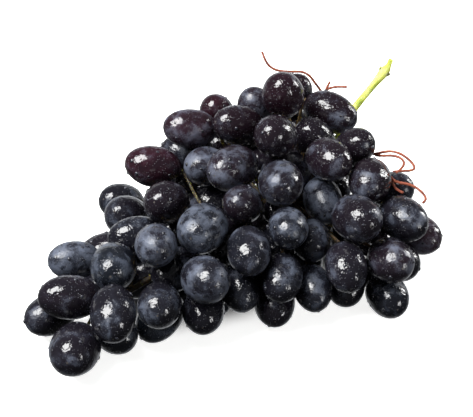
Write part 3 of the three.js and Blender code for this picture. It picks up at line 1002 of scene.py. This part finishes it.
@dataclass(frozen=True)
class Finish:
    """A named material with its principled shader values."""

    name: str
    roughness: float = 0.5
    ior: float = 1.45

    def start(self) -> tuple[Material, bpy.types.Node, Callable[..., Socket], Socket]:
        """Makes the empty material.

        Returns:
            The material, its shader node, what adds a node to it, and its object coordinates.
        """
        made = bpy.data.materials.new(self.name)
        made.use_nodes = True
        shader = made.node_tree.nodes["Principled BSDF"]
        plug(shader, {"Roughness": self.roughness, "IOR": self.ior})
        put = partial(node, made.node_tree)
        return made, shader, put, put(Kind.PLACE)


@dataclass(frozen=True)
class GrapeSkin(Finish):
    """Ripe grape skin: near black, with a waxy bloom that is wiped off in patches and a mist of water.

    The eye gets a dull blue-grey where the wax is whole and a sharp dark gloss where it is rubbed. The mist
    is drawn coarser than the finest real one, so that it shows. Its drops are real bumps, and their lighter
    colour is a painted glint.
    """

    name: str = "ripe_grape_skin"
    dark: str = "#1a0f15"
    blue: str = "#11161c"
    red: str = "#35101a"
    bloom: str = "#8994aa"
    scar: str = "#4b4744"
    # Painted glint of the water drops: clear water painted light grey
    drop_glint: str = "#a3a7b0"
    patch_mm: float = 11.0
    wipe_mm: float = 5.5
    dust_mm: float = 0.6
    mist_mm: float = 0.75
    film_mm: float = 1.6
    wax_veil: float = 0.35
    drop_glint_veil: float = 0.26
    rubbed_roughness: float = 0.07
    waxed_roughness: float = 0.5
    wax_thickness_mm: float = 0.8
    film_thickness_mm: float = 0.4
    drop_thickness_mm: float = 0.25

    def build(self) -> Material:
        """Makes the skin.

        Returns:
            The material.
        """
        made, shader, put, place = self.start()
        shade, ruddy, waxy, pole = (put(Kind.CARRIED, attribute_name=name) for name in SKIN_MARKS)
        patch = put(Kind.NOISE, place, per_metre(self.patch_mm), 2.0, 0.5, 0.4)
        wipe = put(Kind.NOISE, place, per_metre(self.wipe_mm), 4.0, 0.6, 0.3)
        dust = put(Kind.NOISE, place, per_metre(self.dust_mm), 2.0)
        film = put(Kind.NOISE, place, per_metre(self.film_mm), 1.0)
        drop = self.drops(put, place)
        # Plum or blue black by berry, and red where it shows through
        colour = put(Kind.MIX, shade, linear(self.dark), linear(self.blue))
        glow = put(Kind.TIMES, ruddy, put(Kind.EASE, patch, 0.35, 0.65, 0.35, 1.0))
        colour = put(Kind.MIX, glow, colour, linear(self.red))
        # Wax in broad patches, rubbed off in smaller ones, and grainy close to
        wax = put(Kind.EASE, put(Kind.PLUS, patch, waxy), 0.48, 1.0)
        wax = put(Kind.TIMES, wax, put(Kind.EASE, wipe, 0.3, 0.68, 0.15, 1.0))
        wax = put(Kind.TIMES, wax, put(Kind.EASE, dust, 0.3, 0.7, 0.6, 1.0))
        colour = put(Kind.MIX, put(Kind.EASE, wax, 0.0, 0.9, 0.0, self.wax_veil), colour, linear(self.bloom))
        # The dot at the blunt end, then the mist, whose drops are painted lighter than the skin as a painted
        # glint
        colour = put(Kind.MIX, put(Kind.EASE, pole, 0.9965, 0.9985), colour, linear(self.scar))
        colour = put(Kind.MIX, put(Kind.EASE, drop, 0.0, 0.6, 0.0, self.drop_glint_veil), colour, linear(self.drop_glint))
        bump = put(Kind.BUMP, wipe, 0.3, self.wax_thickness_mm * MM)
        bump = put(Kind.BUMP, film, 0.6, self.film_thickness_mm * MM, bump)
        bump = put(Kind.BUMP, drop, 0.7, self.drop_thickness_mm * MM, bump)
        plug(shader, {
            "Base Color": colour,
            "Roughness": put(Kind.EASE, wax, 0.0, 0.6, self.rubbed_roughness, self.waxed_roughness),
            "Specular IOR Level": 0.55, "Coat Weight": 0.25, "Coat Roughness": 0.035, "Coat IOR": 1.36,
            "Normal": bump, "Coat Normal": bump})
        return made

    def drops(self, put: Callable[..., Socket], place: Socket) -> Socket:
        """Makes the fine mist of drops, each of its own size and many left out.

        Args:
            put: What adds a node to the material.
            place: The material's object coordinates.

        Returns:
            The height of the drops.
        """
        away = put(Kind.CELLS, place, per_metre(self.mist_mm))
        chance = put(Kind.RED_PART, away.node.outputs["Color"])
        share = put(Kind.OVER, away, put(Kind.EASE, chance, 0.3, 1.0, 0.01, 0.36))
        return put(Kind.EASE, share, 0.2, 1.0, 1.0, 0.0)


@dataclass(frozen=True)
class WaterBead(Finish):
    """Clear water on a dark skin: it takes the skin's tone, a little lighter, with a hard bright glint."""

    name: str = "water_bead"
    roughness: float = 0.03
    ior: float = 1.33
    thin: str = "#191a20"
    thick: str = "#33343d"
    bead_mm: float = 3.0

    def build(self) -> Material:
        """Makes the water.

        Returns:
            The material.
        """
        made, shader, put, place = self.start()
        vary = put(Kind.NOISE, place, per_metre(self.bead_mm), 1.0)
        colour = put(Kind.MIX, put(Kind.EASE, vary, 0.35, 0.65), linear(self.thin), linear(self.thick))
        plug(shader, {"Base Color": colour, "Coat Weight": 1.0, "Coat Roughness": 0.02})
        return made


@dataclass(frozen=True)
class GreenStem(Finish):
    """Fresh vine stem: pale yellow-green bark, faintly grooved, browning in flecks where it is bruised.

    Light passes into it, so its shaded side stays yellow. The stems inside the bunch are painted dark brown:
    partly their own dry brown, partly painted shade among the berries.
    """

    name: str = "fresh_vine_stem"
    pale: str = "#d6da7e"
    deep: str = "#9dab40"
    brown: str = "#3a2b18"
    blotch_mm: float = 6.0
    fleck_mm: float = 1.1
    groove_mm: float = 0.8
    groove_depth_mm: float = 0.3
    glow_mm: float = 5.0

    def build(self) -> Material:
        """Makes the bark, browner by the amount that each stem carries.

        Returns:
            The material.
        """
        made, shader, put, place = self.start()
        dry = put(Kind.CARRIED, attribute_name=STEM_MARK)
        blotch = put(Kind.NOISE, place, per_metre(self.blotch_mm), 3.0)
        fleck = put(Kind.NOISE, place, per_metre(self.fleck_mm), 3.0)
        groove = put(Kind.NOISE, place, per_metre(self.groove_mm), 2.0)
        green = put(Kind.MIX, put(Kind.EASE, blotch, 0.35, 0.68), linear(self.pale), linear(self.deep))
        # Brown in bruised flecks, at the cut and inside the bunch, where the dark brown is partly painted
        # shade
        brown_and_painted_shade = put(Kind.EASE, put(Kind.PLUS, fleck, dry), 0.62, 0.95)
        plug(shader, {
            "Base Color": put(Kind.MIX, brown_and_painted_shade, green, linear(self.brown)),
            "Roughness": put(Kind.EASE, fleck, 0.3, 0.7, 0.45, 0.7),
            "Subsurface Weight": 1.0, "Subsurface Radius": (1.0, 1.0, 0.5),
            "Subsurface Scale": self.glow_mm * MM,
            "Normal": put(Kind.BUMP, groove, 0.35, self.groove_depth_mm * MM)})
        return made


@dataclass(frozen=True)
class DryTendril(Finish):
    """Dried vine tendril: thin red-brown wood, darker at the knees and paler where it has bleached."""

    name: str = "dried_vine_tendril"
    roughness: float = 0.7
    rust: str = "#8a4630"
    dark: str = "#552721"
    bleached: str = "#ba7648"
    band_mm: float = 4.0
    fibre_mm: float = 0.6
    fibre_depth_mm: float = 0.2

    def build(self) -> Material:
        """Makes the dry wood.

        Returns:
            The material.
        """
        made, shader, put, place = self.start()
        band = put(Kind.NOISE, place, per_metre(self.band_mm), 3.0)
        fibre = put(Kind.NOISE, place, per_metre(self.fibre_mm), 2.0)
        colour = put(Kind.MIX, put(Kind.EASE, band, 0.32, 0.52), linear(self.dark), linear(self.rust))
        colour = put(Kind.MIX, put(Kind.EASE, band, 0.55, 0.75, 0.0, 0.7), colour, linear(self.bleached))
        plug(shader, {
            "Base Color": colour, "Normal": put(Kind.BUMP, fibre, 0.4, self.fibre_depth_mm * MM)})
        return made


@dataclass(frozen=True)
class PaleFloor(Finish):
    """White acrylic sheet lit from below, with the faintest mottle.

    Its own light washes out the shadows round the bunch but not those under it.
    """

    name: str = "lit_white_acrylic"
    roughness: float = 0.9
    white: str = "#fbfbfa"
    shade: str = "#f4f4f2"
    mottle_mm: float = 40.0
    glow: float = 0.88
    dark_long_mm: float = 92.0
    dark_wide_mm: float = 52.0
    dark_turn: float = math.radians(33)
    dark_middle_mm: tuple[float, float] = (-4.0, 16.0)

    def build(self) -> Material:
        """Makes the sheet, which glows everywhere but in an oval under the bunch.

        Returns:
            The material.
        """
        made, shader, put, place = self.start()
        mottle = put(Kind.NOISE, place, per_metre(self.mottle_mm), 2.0)
        x, y = self.dark_middle_mm
        oval = put(
            Kind.OVAL, place, (x * MM, y * MM, 0.0), (0.0, 0.0, self.dark_turn),
            (self.dark_long_mm * MM, self.dark_wide_mm * MM, 1.0))
        away = put(Kind.LENGTH, oval)
        plug(shader, {
            "Base Color": put(
                Kind.MIX, put(Kind.EASE, mottle, 0.3, 0.7), linear(self.white), linear(self.shade)),
            "Emission Color": linear(self.white),
            "Emission Strength": put(Kind.EASE, away, 0.7, 1.05, 0.0, self.glow)})
        return made


# Mesh helpers
def finish_piece(bm: Mesh, name: str, finish: Material, slot: Slot, *nodes: str) -> None:
    """Turns a mesh in progress into a shaded piece that rides on the bunch.

    Args:
        bm: The mesh in progress, which is freed.
        name: The piece's name.
        finish: Its material.
        slot: The record's slot that the finish belongs to; not used.
        *nodes: The solids that the piece stands for.
    """
    bmesh.ops.recalc_face_normals(bm, faces=bm.faces[:])
    for face in bm.faces:
        face.smooth = True
    mesh = bpy.data.meshes.new(name)
    bm.to_mesh(mesh)
    bm.free()
    mesh.materials.append(finish)
    piece = bpy.data.objects.new(name, mesh)
    bpy.context.scene.collection.objects.link(piece)
    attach(piece, "root")
    if nodes:
        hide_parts(*nodes)
    LOG.info("%s: %d faces", name, len(mesh.polygons))


def sweep(bm: Mesh, points: list[Vector], radii: list[float], sides: int,
          ridge: float = 0.0) -> list[bmesh.types.BMVert]:
    """Draws a round stem along a path by extruding a circle from point to point.

    Args:
        bm: The mesh to add to.
        points: The path, in metres.
        radii: The stem's radius at each point, in metres.
        sides: How many sides the circle has.
        ridge: How deep the long ridges are, as a share of the radius.

    Returns:
        The stem's vertices.
    """
    heading = (points[1] - points[0]).normalized()
    turn = heading.to_track_quat("Z", "Y")
    ring = bmesh.ops.create_circle(bm, cap_ends=True, segments=sides, radius=1.0)["verts"]
    shape = [Vector((v.co.x, v.co.y, 0.0)) * (1 + ridge * math.cos(i * math.pi)) for i, v in enumerate(ring)]
    made = list(ring)
    edges = [e for e in bm.edges if e.verts[0] in ring and e.verts[1] in ring]
    for i, point in enumerate(points):
        if i > 0:
            ahead = points[min(i + 1, len(points) - 1)] - points[i - 1]
            turn = heading.rotation_difference(ahead.normalized()) @ turn
            heading = ahead.normalized()
            extruded = bmesh.ops.extrude_edge_only(bm, edges=edges)["geom"]
            fresh = [g for g in extruded if isinstance(g, bmesh.types.BMVert)]
            edges = [g for g in extruded if isinstance(g, bmesh.types.BMEdge)
                     and g.verts[0] in fresh and g.verts[1] in fresh]
            order = {}
            for old in ring:
                for e in old.link_edges:
                    other = e.other_vert(old)
                    if other in fresh:
                        order[old] = other
            ring = [order[v] for v in ring]
            made += ring
        for v, s in zip(ring, shape):
            v.co = point + turn @ (s * radii[i])
    bmesh.ops.edgeloop_fill(bm, edges=edges)
    return made


def set_down(bm: Mesh, verts: list[bmesh.types.BMVert], at: Vec, way: Vec, sizes: Vec) -> None:
    """Sizes a shape made round the origin, turns its top along a direction and moves it to its place.

    Args:
        bm: The mesh that the shape is in.
        verts: The shape's vertices.
        at: Its place in the layout.
        way: The direction.
        sizes: How much it is grown along its own three axes, in mm.
    """
    turn = UP.rotation_difference(Vector(way)).to_matrix().to_4x4()
    grow = Matrix.Diagonal((sizes[0] * MM, sizes[1] * MM, sizes[2] * MM, 1.0))
    bmesh.ops.transform(bm, verts=verts, matrix=Matrix.Translation(metres(at)) @ turn @ grow)


def join(bm: Mesh, part: Mesh) -> None:
    """Adds a small mesh in progress to a larger one and frees it.

    Args:
        bm: The larger mesh.
        part: The small one.
    """
    spare = bpy.data.meshes.new("spare")
    part.to_mesh(spare)
    part.free()
    bm.from_mesh(spare)
    bpy.data.meshes.remove(spare)


def new_mesh(*marks: str) -> Mesh:
    """Starts a mesh whose vertices carry values.

    Args:
        *marks: The values' names.

    Returns:
        The mesh in progress.
    """
    bm = bmesh.new()
    for name in marks:
        bm.verts.layers.float.new(name)
    return bm


def mark(bm: Mesh, verts: list[bmesh.types.BMVert], **values: float) -> None:
    """Writes values on vertices for the material to read.

    Args:
        bm: The mesh that the vertices are in.
        verts: The vertices.
        **values: Each value by its name.
    """
    for name, value in values.items():
        layer = bm.verts.layers.float[name]
        for v in verts:
            v[layer] = value


@dataclass
class Spray:
    """One side stem with its berries, their own stems and the water on them."""

    name: str
    lateral: Lateral
    berries: list[Berry]
    bunch: Bunch
    seed: int
    # A berry's shape, on a ball of radius 1: lumps, blunt ends, a fuller stem half and a dimple
    segments: int = 44
    rings: int = 26
    unevenness: float = 0.016
    lump_scale: float = 1.3
    lump_room: float = 50.0
    bluntness: float = 0.93
    fullness: float = 0.035
    fullest: float = 0.4
    dimple: float = 0.05
    dimple_from: float = 0.9
    dimple_span: float = 0.1
    # A berry's tones: the most wax where none was read, and more blue low in the view
    most_wax: float = 0.18
    blue_draw: float = 0.4
    blue_low: float = 0.6
    blue_level: float = 0.6
    blue_fade: float = 80.0
    red_draw: float = 0.4
    red_rare: float = 0.28
    # The side stem, and the berry stems with their collars, in mm
    stem_steps: int = 6
    stem_sides: int = 10
    stem_radius: float = 1.5
    stem_taper: float = 0.4
    stem_knots: float = 0.12
    knot_turn: float = 2.1
    # How brown the side stem is: partly its own dryness, partly painted shade inside the bunch
    stem_dry_and_shade: tuple[float, float] = (0.5, 0.2)
    pedicel_sides: int = 8
    pedicel_steps: int = 3
    pedicel_radius: float = 0.85
    pedicel_knee: float = 0.45
    pedicel_bend: float = 4.0
    pedicel_bend_share: float = 0.3
    pedicel_sink: float = 1.2
    # How brown the berry stems are: partly their own dryness, partly painted shade inside the bunch
    pedicel_dry_and_shade: tuple[float, float] = (0.45, 0.25)
    collar: float = 1.9
    collar_from: float = 0.55
    collar_span: float = 0.45
    # The beads of water, in mm, and what keeps them off: the stem's end, the table and close neighbours
    bead_tries: int = 40
    bead_segments: int = 8
    bead_rings: int = 5
    bead_smallest: float = 0.3
    bead_largest: float = 1.15
    bead_height: float = 0.5
    bead_lowest: float = 2.5
    bead_stem_end: float = -0.85
    bead_range: float = 55.0
    bead_margin: float = 0.4
    bead_looks: tuple[float, ...] = (0.6, 4.0, 9.0, 16.0)

    def build(self, skin: Material, stem: Material, water: Material) -> None:
        """Makes the spray's three pieces.

        Args:
            skin: The berries' finish.
            stem: The stems' finish.
            water: The water's finish.
        """
        draw = draws(self.seed)
        bm = new_mesh(*SKIN_MARKS)
        for b in self.berries:
            join(bm, self.berry(b, draw))
        finish_piece(bm, f"{self.name}_berries", skin, Slot.SKIN, self.name)
        bm = new_mesh(STEM_MARK)
        self.add_stems(bm, draw)
        finish_piece(bm, f"{self.name}_stems", stem, Slot.STEM)
        bm = bmesh.new()
        for b in self.berries:
            join(bm, self.beads(b, draw))
        if bm.verts:
            finish_piece(bm, f"{self.name}_beads", water, Slot.SKIN)
        else:
            bm.free()

    def outline(self, z: float) -> tuple[float, float]:
        """The width of a berry at a height z of the ball, and the height that comes of z.

        Args:
            z: The height, from -1 at the stem to 1 at the blunt end.

        Returns:
            The width and the new height.
        """
        wide = 1 + self.fullness * (1 - z * z) * (self.fullest - z)
        return wide, math.copysign(abs(z) ** self.bluntness, z)

    def berry(self, b: Berry, draw: Draw) -> Mesh:
        """One berry: blunt, dimpled where its stem goes in, and flat where it rests.

        Args:
            b: The berry.
            draw: The run of random numbers.

        Returns:
            The berry's mesh in progress.
        """
        bm = new_mesh(*SKIN_MARKS)
        verts = bmesh.ops.create_uvsphere(
            bm, u_segments=self.segments, v_segments=self.rings, radius=1.0)["verts"]
        offset = Vector([draw() * self.lump_room for _ in range(3)])
        wax = self.most_wax * draw()
        low = min(1.0, max(0.0, self.blue_level - SIGHT.seen(b.c)[1] / self.blue_fade))
        mark(bm, verts, shade=self.blue_draw * draw() + self.blue_low * low,
             ruddy=max(b.ruddy, draw() * self.red_draw - self.red_rare),
             waxy=wax if b.waxy is None else b.waxy)
        pole = bm.verts.layers.float["pole"]
        for v in verts:
            z = v.co.z
            v[pole] = z
            wide, tall = self.outline(z)
            uneven = 1 + self.unevenness * noise.noise(v.co * self.lump_scale + offset)
            if z < -self.dimple_from:
                tall += self.dimple * (-z - self.dimple_from) / self.dimple_span
            v.co = Vector((v.co.x * wide * uneven, v.co.y * wide * uneven, tall * uneven))
        set_down(bm, verts, b.c, b.axis, (b.dia / 2, b.dia / 2, b.len / 2))
        for v in verts:
            v.co.z = max(v.co.z, 0.0)
        return bm

    def add_stems(self, bm: Mesh, draw: Draw) -> None:
        """Adds the side stem, and each berry's stem with the collar that holds the berry.

        Args:
            bm: The mesh to add to.
            draw: The run of random numbers.
        """
        root, tip, count = self.lateral.root, self.lateral.end, self.stem_steps
        points = [metres(between(root, tip, i / count)) for i in range(count + 1)]
        radii = []
        for i in range(count + 1):
            knot = self.stem_knots * math.sin(i * self.knot_turn)
            radii.append((self.stem_radius - self.stem_taper * i / count + knot) * MM)
        least, more = self.stem_dry_and_shade
        mark(bm, sweep(bm, points, radii, self.stem_sides), dry=least + more * draw())
        least, more = self.pedicel_dry_and_shade
        for b in self.berries:
            start, end = between(root, tip, b.start), b.stem_end()
            bend = min(self.pedicel_bend, size(sub(end, start)) * self.pedicel_bend_share)
            places = [start, between(start, end, self.pedicel_knee), add(end, b.axis, -bend * 0.5),
                      add(end, b.axis, self.pedicel_sink)]
            path = [metres(p) for p in smooth_points(places, self.pedicel_steps)]
            last = len(path) - 1
            radii = []
            for i in range(len(path)):
                flare = max(0.0, (i / last - self.collar_from) / self.collar_span)
                radii.append((self.pedicel_radius + (self.collar - self.pedicel_radius) * flare * flare) * MM)
            mark(bm, sweep(bm, path, radii, self.pedicel_sides), dry=least + more * draw())

    def beads(self, b: Berry, draw: Draw) -> Mesh:
        """The water beads on the open side of a berry.

        Args:
            b: The berry.
            draw: The run of random numbers.

        Returns:
            The beads' mesh in progress.
        """
        bm = bmesh.new()
        spin = UP.rotation_difference(Vector(b.axis))
        near = [o for o in self.bunch.berries if o is not b and size(sub(o.c, b.c)) < self.bead_range]
        for k in range(self.bead_tries):
            z = 1 - 2 * (k + draw()) / self.bead_tries
            angle = k * GOLDEN_ANGLE + draw()
            radius = self.bead_smallest + (self.bead_largest - self.bead_smallest) * draw() ** 3
            r = math.sqrt(max(0.0, 1 - z * z))
            local = Vector((r * math.cos(angle), r * math.sin(angle), z))
            if z < self.bead_stem_end:
                continue
            wide, tall = self.outline(z)
            skin = Vector((local.x * wide * b.dia / 2, local.y * wide * b.dia / 2, tall * b.len / 2))
            normal = Vector((local.x / b.dia, local.y / b.dia, local.z / b.len)).normalized()
            at = add(b.c, tuple(spin @ skin))
            out = tuple(spin @ normal)
            if at[2] < self.bead_lowest or self.is_shut_in(at, out, near):
                continue
            verts = bmesh.ops.create_uvsphere(
                bm, u_segments=self.bead_segments, v_segments=self.bead_rings, radius=1.0)["verts"]
            set_down(bm, verts, at, out, (radius, radius, radius * self.bead_height))
        return bm

    def is_shut_in(self, at: Vec, out: Vec, near: list[Berry]) -> bool:
        """Whether a place on the skin faces another berry too closely to be seen.

        Args:
            at: The place.
            out: The way that it faces.
            near: The berries close to it.

        Returns:
            True where one of them is in the way.
        """
        looks = [add(at, out, step) for step in self.bead_looks]
        return any(o.depth(p, self.bead_margin) < 1 for p in looks for o in near)


@dataclass
class StalkPiece:
    """The rachis and the green stalk, with the swollen joint where the shoot was cut and its dry stub."""

    wood: Wood
    rachis_tip: float = 1.3
    rachis_end: float = 2.4
    shaft: float = 1.75
    joint: float = 2.8
    stub: float = 1.3
    sides: int = 20
    ridge: float = 0.03
    rachis_skip: int = 4
    per_span: int = 6
    joint_at: int = 18
    joint_steps: float = 1.5
    stub_steps: int = 3
    # How brown it is, distances in metres: fresh, more at the cut within a distance, and much more inside the
    # bunch, where the brown is partly its dryness and partly painted shade among the berries
    fresh: float = 0.02
    cut_brown: float = 0.17
    cut_reach: float = 0.006
    inner_brown_and_shade: float = 0.5
    inner_reach: float = 0.012
    # The buds, in mm
    bud_segments: int = 16
    bud_rings: int = 10
    bud_offset: float = 2.1
    bud_lean: float = 0.9
    bud_sizes: Vec = (1.25, 1.25, 2.0)
    bud_taper: float = 0.45
    bud_brown: float = 0.12

    def build(self, finish: Material) -> None:
        """Makes the stalk as one stem of changing girth, with two buds at its joint.

        Args:
            finish: The stem's finish.
        """
        bm = new_mesh(STEM_MARK)
        inner = self.wood.rachis[::self.rachis_skip]
        girths = [self.rachis_tip + (self.rachis_end - self.rachis_tip) * i / (len(inner) - 1)
                  for i in range(len(inner))]
        outer = smooth_points(list(self.wood.stalk), self.per_span)
        for i in range(1, len(outer)):
            past = i - self.joint_at
            girth = self.rachis_end + (self.shaft - self.rachis_end) * min(1.0, i / self.joint_at)
            girth += (self.joint - self.shaft) * math.exp(-(past / self.joint_steps) ** 2)
            if past > 0:
                girth += (self.stub - self.shaft) * min(1.0, past / self.stub_steps)
            girths.append(girth)
        path = [metres(p) for p in inner + outer[1:]]
        verts = sweep(bm, path, [g * MM for g in girths], self.sides, self.ridge)
        dry = bm.verts.layers.float[STEM_MARK]
        cut, shoulder = path[-1], metres(outer[0])
        # Browner near the cut, and dark brown inside the bunch, partly painted shade among the berries
        for v in verts:
            near_cut = max(0.0, 1 - (v.co - cut).length / self.cut_reach)
            inside = min(1.0, max(0.0, (shoulder.z + self.inner_reach - v.co.z) / self.inner_reach))
            v[dry] = self.fresh + self.cut_brown * near_cut + self.inner_brown_and_shade * inside
        ahead = unit(sub(outer[self.joint_at + 1], outer[self.joint_at - 1]))
        side = unit(cross(ahead, (0.0, -COS, SIN)))
        for way in (side, (-side[0], -side[1], -side[2])):
            at = add(outer[self.joint_at], way, self.bud_offset)
            self.add_bud(bm, at, unit(add(way, ahead, self.bud_lean)))
        finish_piece(bm, "stalk_green", finish, Slot.STEM, "stalk")

    def add_bud(self, bm: Mesh, at: Vec, way: Vec) -> None:
        """Adds a small pointed bud.

        Args:
            bm: The mesh to add to.
            at: Its middle.
            way: The way that it points.
        """
        verts = bmesh.ops.create_uvsphere(
            bm, u_segments=self.bud_segments, v_segments=self.bud_rings, radius=1.0)["verts"]
        for v in verts:
            taper = 1 - self.bud_taper * max(0.0, v.co.z)
            v.co.x *= taper
            v.co.y *= taper
        set_down(bm, verts, at, way, self.bud_sizes)
        mark(bm, verts, dry=self.bud_brown)


@dataclass
class TendrilPiece:
    """A dry tendril with its forks, bent clear of the berries it would cross."""

    name: str
    lines: tuple[tuple[Vec, ...], ...]
    bunch: Bunch
    radius: float = 0.7
    end_radius: float = 0.62
    sides: int = 10
    per_span: int = 3
    spare: float = 0.5
    turns: int = 30
    soft_turns: int = 26
    softness: float = 0.2
    knobs: float = 0.16
    knob_pace: Vec = (0.31, 7.7, 3.1)

    def bent_clear(self, line: tuple[Vec, ...]) -> list[Vec]:
        """The line's points, pushed out of the berries.

        Args:
            line: Places across and up in steps of the view, and depth in mm.

        Returns:
            The points in the bunch's own place.
        """
        places = [SIGHT.place(a * SIGHT.step, b * SIGHT.step, w) for a, b, w in line]
        points = smooth_points(places, self.per_span)
        margin = self.radius + self.bunch.clearance + self.spare
        for turn in range(self.turns):
            for i in range(len(points)):
                for b in self.bunch.berries:
                    f = b.depth(points[i], margin)
                    if f < 1:
                        points[i] = add(b.c, sub(points[i], b.c), 1 / f)
            if turn < self.soft_turns:
                for i in range(1, len(points) - 1):
                    middle = between(points[i - 1], points[i + 1], 0.5)
                    points[i] = between(points[i], middle, self.softness)
        return points

    def build(self, finish: Material) -> None:
        """Makes the tendril, knobbly along its length and a little thinner at its end.

        Args:
            finish: The dry wood's finish.
        """
        bm = bmesh.new()
        along_pace, strand_pace, start = self.knob_pace
        for k, line in enumerate(self.lines):
            points = smooth_points(self.bent_clear(line), self.per_span)
            last = len(points) - 1
            radii = []
            for i in range(len(points)):
                r = self.radius + (self.end_radius - self.radius) * i / last
                r *= 1 + self.knobs * noise.noise(Vector((i * along_pace, k * strand_pace, start)))
                radii.append(r * MM)
            sweep(bm, [metres(p) for p in points], radii, self.sides)
        finish_piece(bm, f"{self.name}_strand", finish, Slot.TENDRIL, self.name)


# The strands of each tendril: places across and up in steps of the view, and depth toward the eye in mm
TENDRILS: dict[str, tuple[tuple[Vec, ...], ...]] = {
    "tendril_top": (
        ((97, 98, -62), (92, 107, -60), (86.5, 115.5, -56), (76.5, 126.5, -53), (63.5, 134.5, -50),
         (51.5, 137, -48), (34.5, 136.5, -46), (28.5, 146.5, -46), (25.5, 157, -46)),
        ((86.5, 115.5, -56), (90.5, 120.5, -55), (98.5, 122.5, -54), (110.5, 121.5, -53)),
        ((89.5, 119, -55), (93.5, 127, -54))),
    "tendril_loops": (
        ((118, 56, -36), (128, 56, -28), (138, 54, -19), (148.5, 57.5, -14), (157.5, 58.5, -12),
         (168.5, 53.5, -9), (176.5, 45.5, -7), (179.5, 40.5, -6), (177.5, 37, -5), (166.5, 38, -4),
         (155.5, 36.5, -3)),
        ((138, 54, -19), (144.5, 51.5, -15), (153.5, 54, -12), (163.5, 52.5, -9), (170.5, 46.5, -6),
         (166.5, 40.5, -4), (159.5, 35.5, -3))),
    "tendril_tails": (
        ((143.5, 27.5, -8), (153.5, 27.5, -4), (163.5, 24.5, -2), (173.5, 25.5, -1), (181.5, 20.5, 0),
         (188.5, 13.5, 2), (191.5, 8.5, 3), (185.5, 5, 5)),
        ((146, 27.5, -7), (152.5, 24, -4), (159.5, 18.5, -1), (166.5, 14, 1))),
}


@dataclass(frozen=True)
class SoftBox:
    """A soft light: its place from the bunch and its extent in metres, its power in watts, its glint."""

    name: str
    offset: Vec
    extent: tuple[float, float]
    power: float
    glints: bool = True

    def build(self, target: Vector) -> None:
        """Adds the light.

        Args:
            target: What it faces.
        """
        light = bpy.data.lights.new(self.name, "AREA")
        light.shape = "RECTANGLE"
        light.size, light.size_y = self.extent
        light.energy = self.power
        lamp = bpy.data.objects.new(self.name, light)
        lamp.location = target + Vector(self.offset)
        lamp.rotation_euler = (-Vector(self.offset)).to_track_quat("-Z", "Y").to_euler()
        lamp.visible_glossy = self.glints
        bpy.context.scene.collection.objects.link(lamp)


@dataclass
class Studio:
    """A lit white sheet, a room that is bright behind the bunch, four soft lights and the camera."""

    floor_size: float = 6.0
    floor_squares: int = 8
    frame_width_px: float = 473.0
    sensor_mm: float = 36.0
    room: str = "#f2f5fa"
    front_level: float = 0.12
    back_level: float = 1.5
    lights: tuple[SoftBox, ...] = (
        SoftBox("key", (-0.46, -0.14, 0.82), (0.56, 0.72), 24.0),
        SoftBox("side", (0.72, -0.55, 0.16), (0.14, 0.4), 2.2),
        SoftBox("rim", (0.8, 0.5, 0.24), (0.18, 0.46), 4.0),
        SoftBox("fill", (0.1, 0.2, 1.5), (2.2, 2.2), 6.0, glints=False))

    def build(self) -> None:
        """Makes the floor, the room, the lights and the camera."""
        self.add_floor()
        self.add_world()
        target = Vector(add((0.0, 0.0, SIGHT.height), SHIFT)) * MM
        for light in self.lights:
            light.build(target)
        self.add_camera(target)

    def add_floor(self) -> None:
        """Makes the floor, which is neither mirrored in the berries nor lights them from below."""
        bm = bmesh.new()
        bmesh.ops.create_grid(
            bm, x_segments=self.floor_squares, y_segments=self.floor_squares, size=self.floor_size / 2)
        mesh = bpy.data.meshes.new("floor")
        bm.to_mesh(mesh)
        bm.free()
        mesh.materials.append(PaleFloor().build())
        floor = bpy.data.objects.new("floor", mesh)
        bpy.context.scene.collection.objects.link(floor)
        floor.visible_glossy = False
        floor.visible_diffuse = False

    def add_world(self) -> None:
        """Makes a room that is dim in front of the bunch, bright behind it and white to the camera."""
        world = bpy.data.worlds.new("room")
        world.use_nodes = True
        bpy.context.scene.world = world
        tree = world.node_tree
        lit = tree.nodes["Background"]
        put = partial(node, tree)
        out = put(Kind.DIRECTION)
        behind = put(Kind.FACING, out, (0.0, COS, -SIN))
        level = put(Kind.EASE, behind, 0.55, 1.0, self.front_level, self.back_level)
        level = put(Kind.TIMES, level, put(Kind.EASE, put(Kind.HEIGHT, out), -0.6, 0.1, 0.4, 1.0))
        plug(lit, {"Color": linear(self.room), "Strength": level})
        white = put(Kind.BACKDROP, (1.0, 1.0, 1.0, 1.0), 1.0)
        mixed = put(Kind.EITHER, put(Kind.CAMERA_RAY), lit.outputs[0], white)
        plug(tree.nodes["World Output"], {"Surface": mixed})

    def add_camera(self, target: Vector) -> None:
        """Adds the camera that the berries were read from.

        Args:
            target: The middle of the view.
        """
        lens = bpy.data.cameras.new("camera")
        lens.sensor_fit = "HORIZONTAL"
        lens.sensor_width = self.sensor_mm
        lens.lens = self.sensor_mm * SIGHT.distance / (self.frame_width_px * SIGHT.step)
        camera = bpy.data.objects.new("camera", lens)
        camera.location = target + Vector((0.0, -COS, SIN)) * SIGHT.distance * MM
        camera.rotation_euler = (math.pi / 2 - SIGHT.elevation, 0.0, 0.0)
        bpy.context.scene.collection.objects.link(camera)
        bpy.context.scene.camera = camera
        bpy.context.scene.view_settings.view_transform = "Standard"


def main() -> None:
    """Places the bunch, dresses every spray, the stalk and the tendrils, and sets the studio."""
    logging.basicConfig(level=logging.INFO, format="%(message)s")
    Studio().build()
    bunch = Bunch()
    bunch.grow()
    LOG.info("%d berries, %d of them read from the front", len(bunch.berries), len(bunch.seen))
    finishes = (GrapeSkin(), GreenStem(), WaterBead(), DryTendril())
    skin, stem, water, dry = (finish.build() for finish in finishes)
    for k, (lateral, own) in enumerate(bunch.sprays()):
        Spray(f"spray_{k + 1:02d}", lateral, own, bunch, SPRAY_SEED + k).build(skin, stem, water)
    StalkPiece(bunch.wood).build(stem)
    for name, lines in TENDRILS.items():
        TendrilPiece(name, lines, bunch).build(dry)


if __name__ == "__main__":
    main()
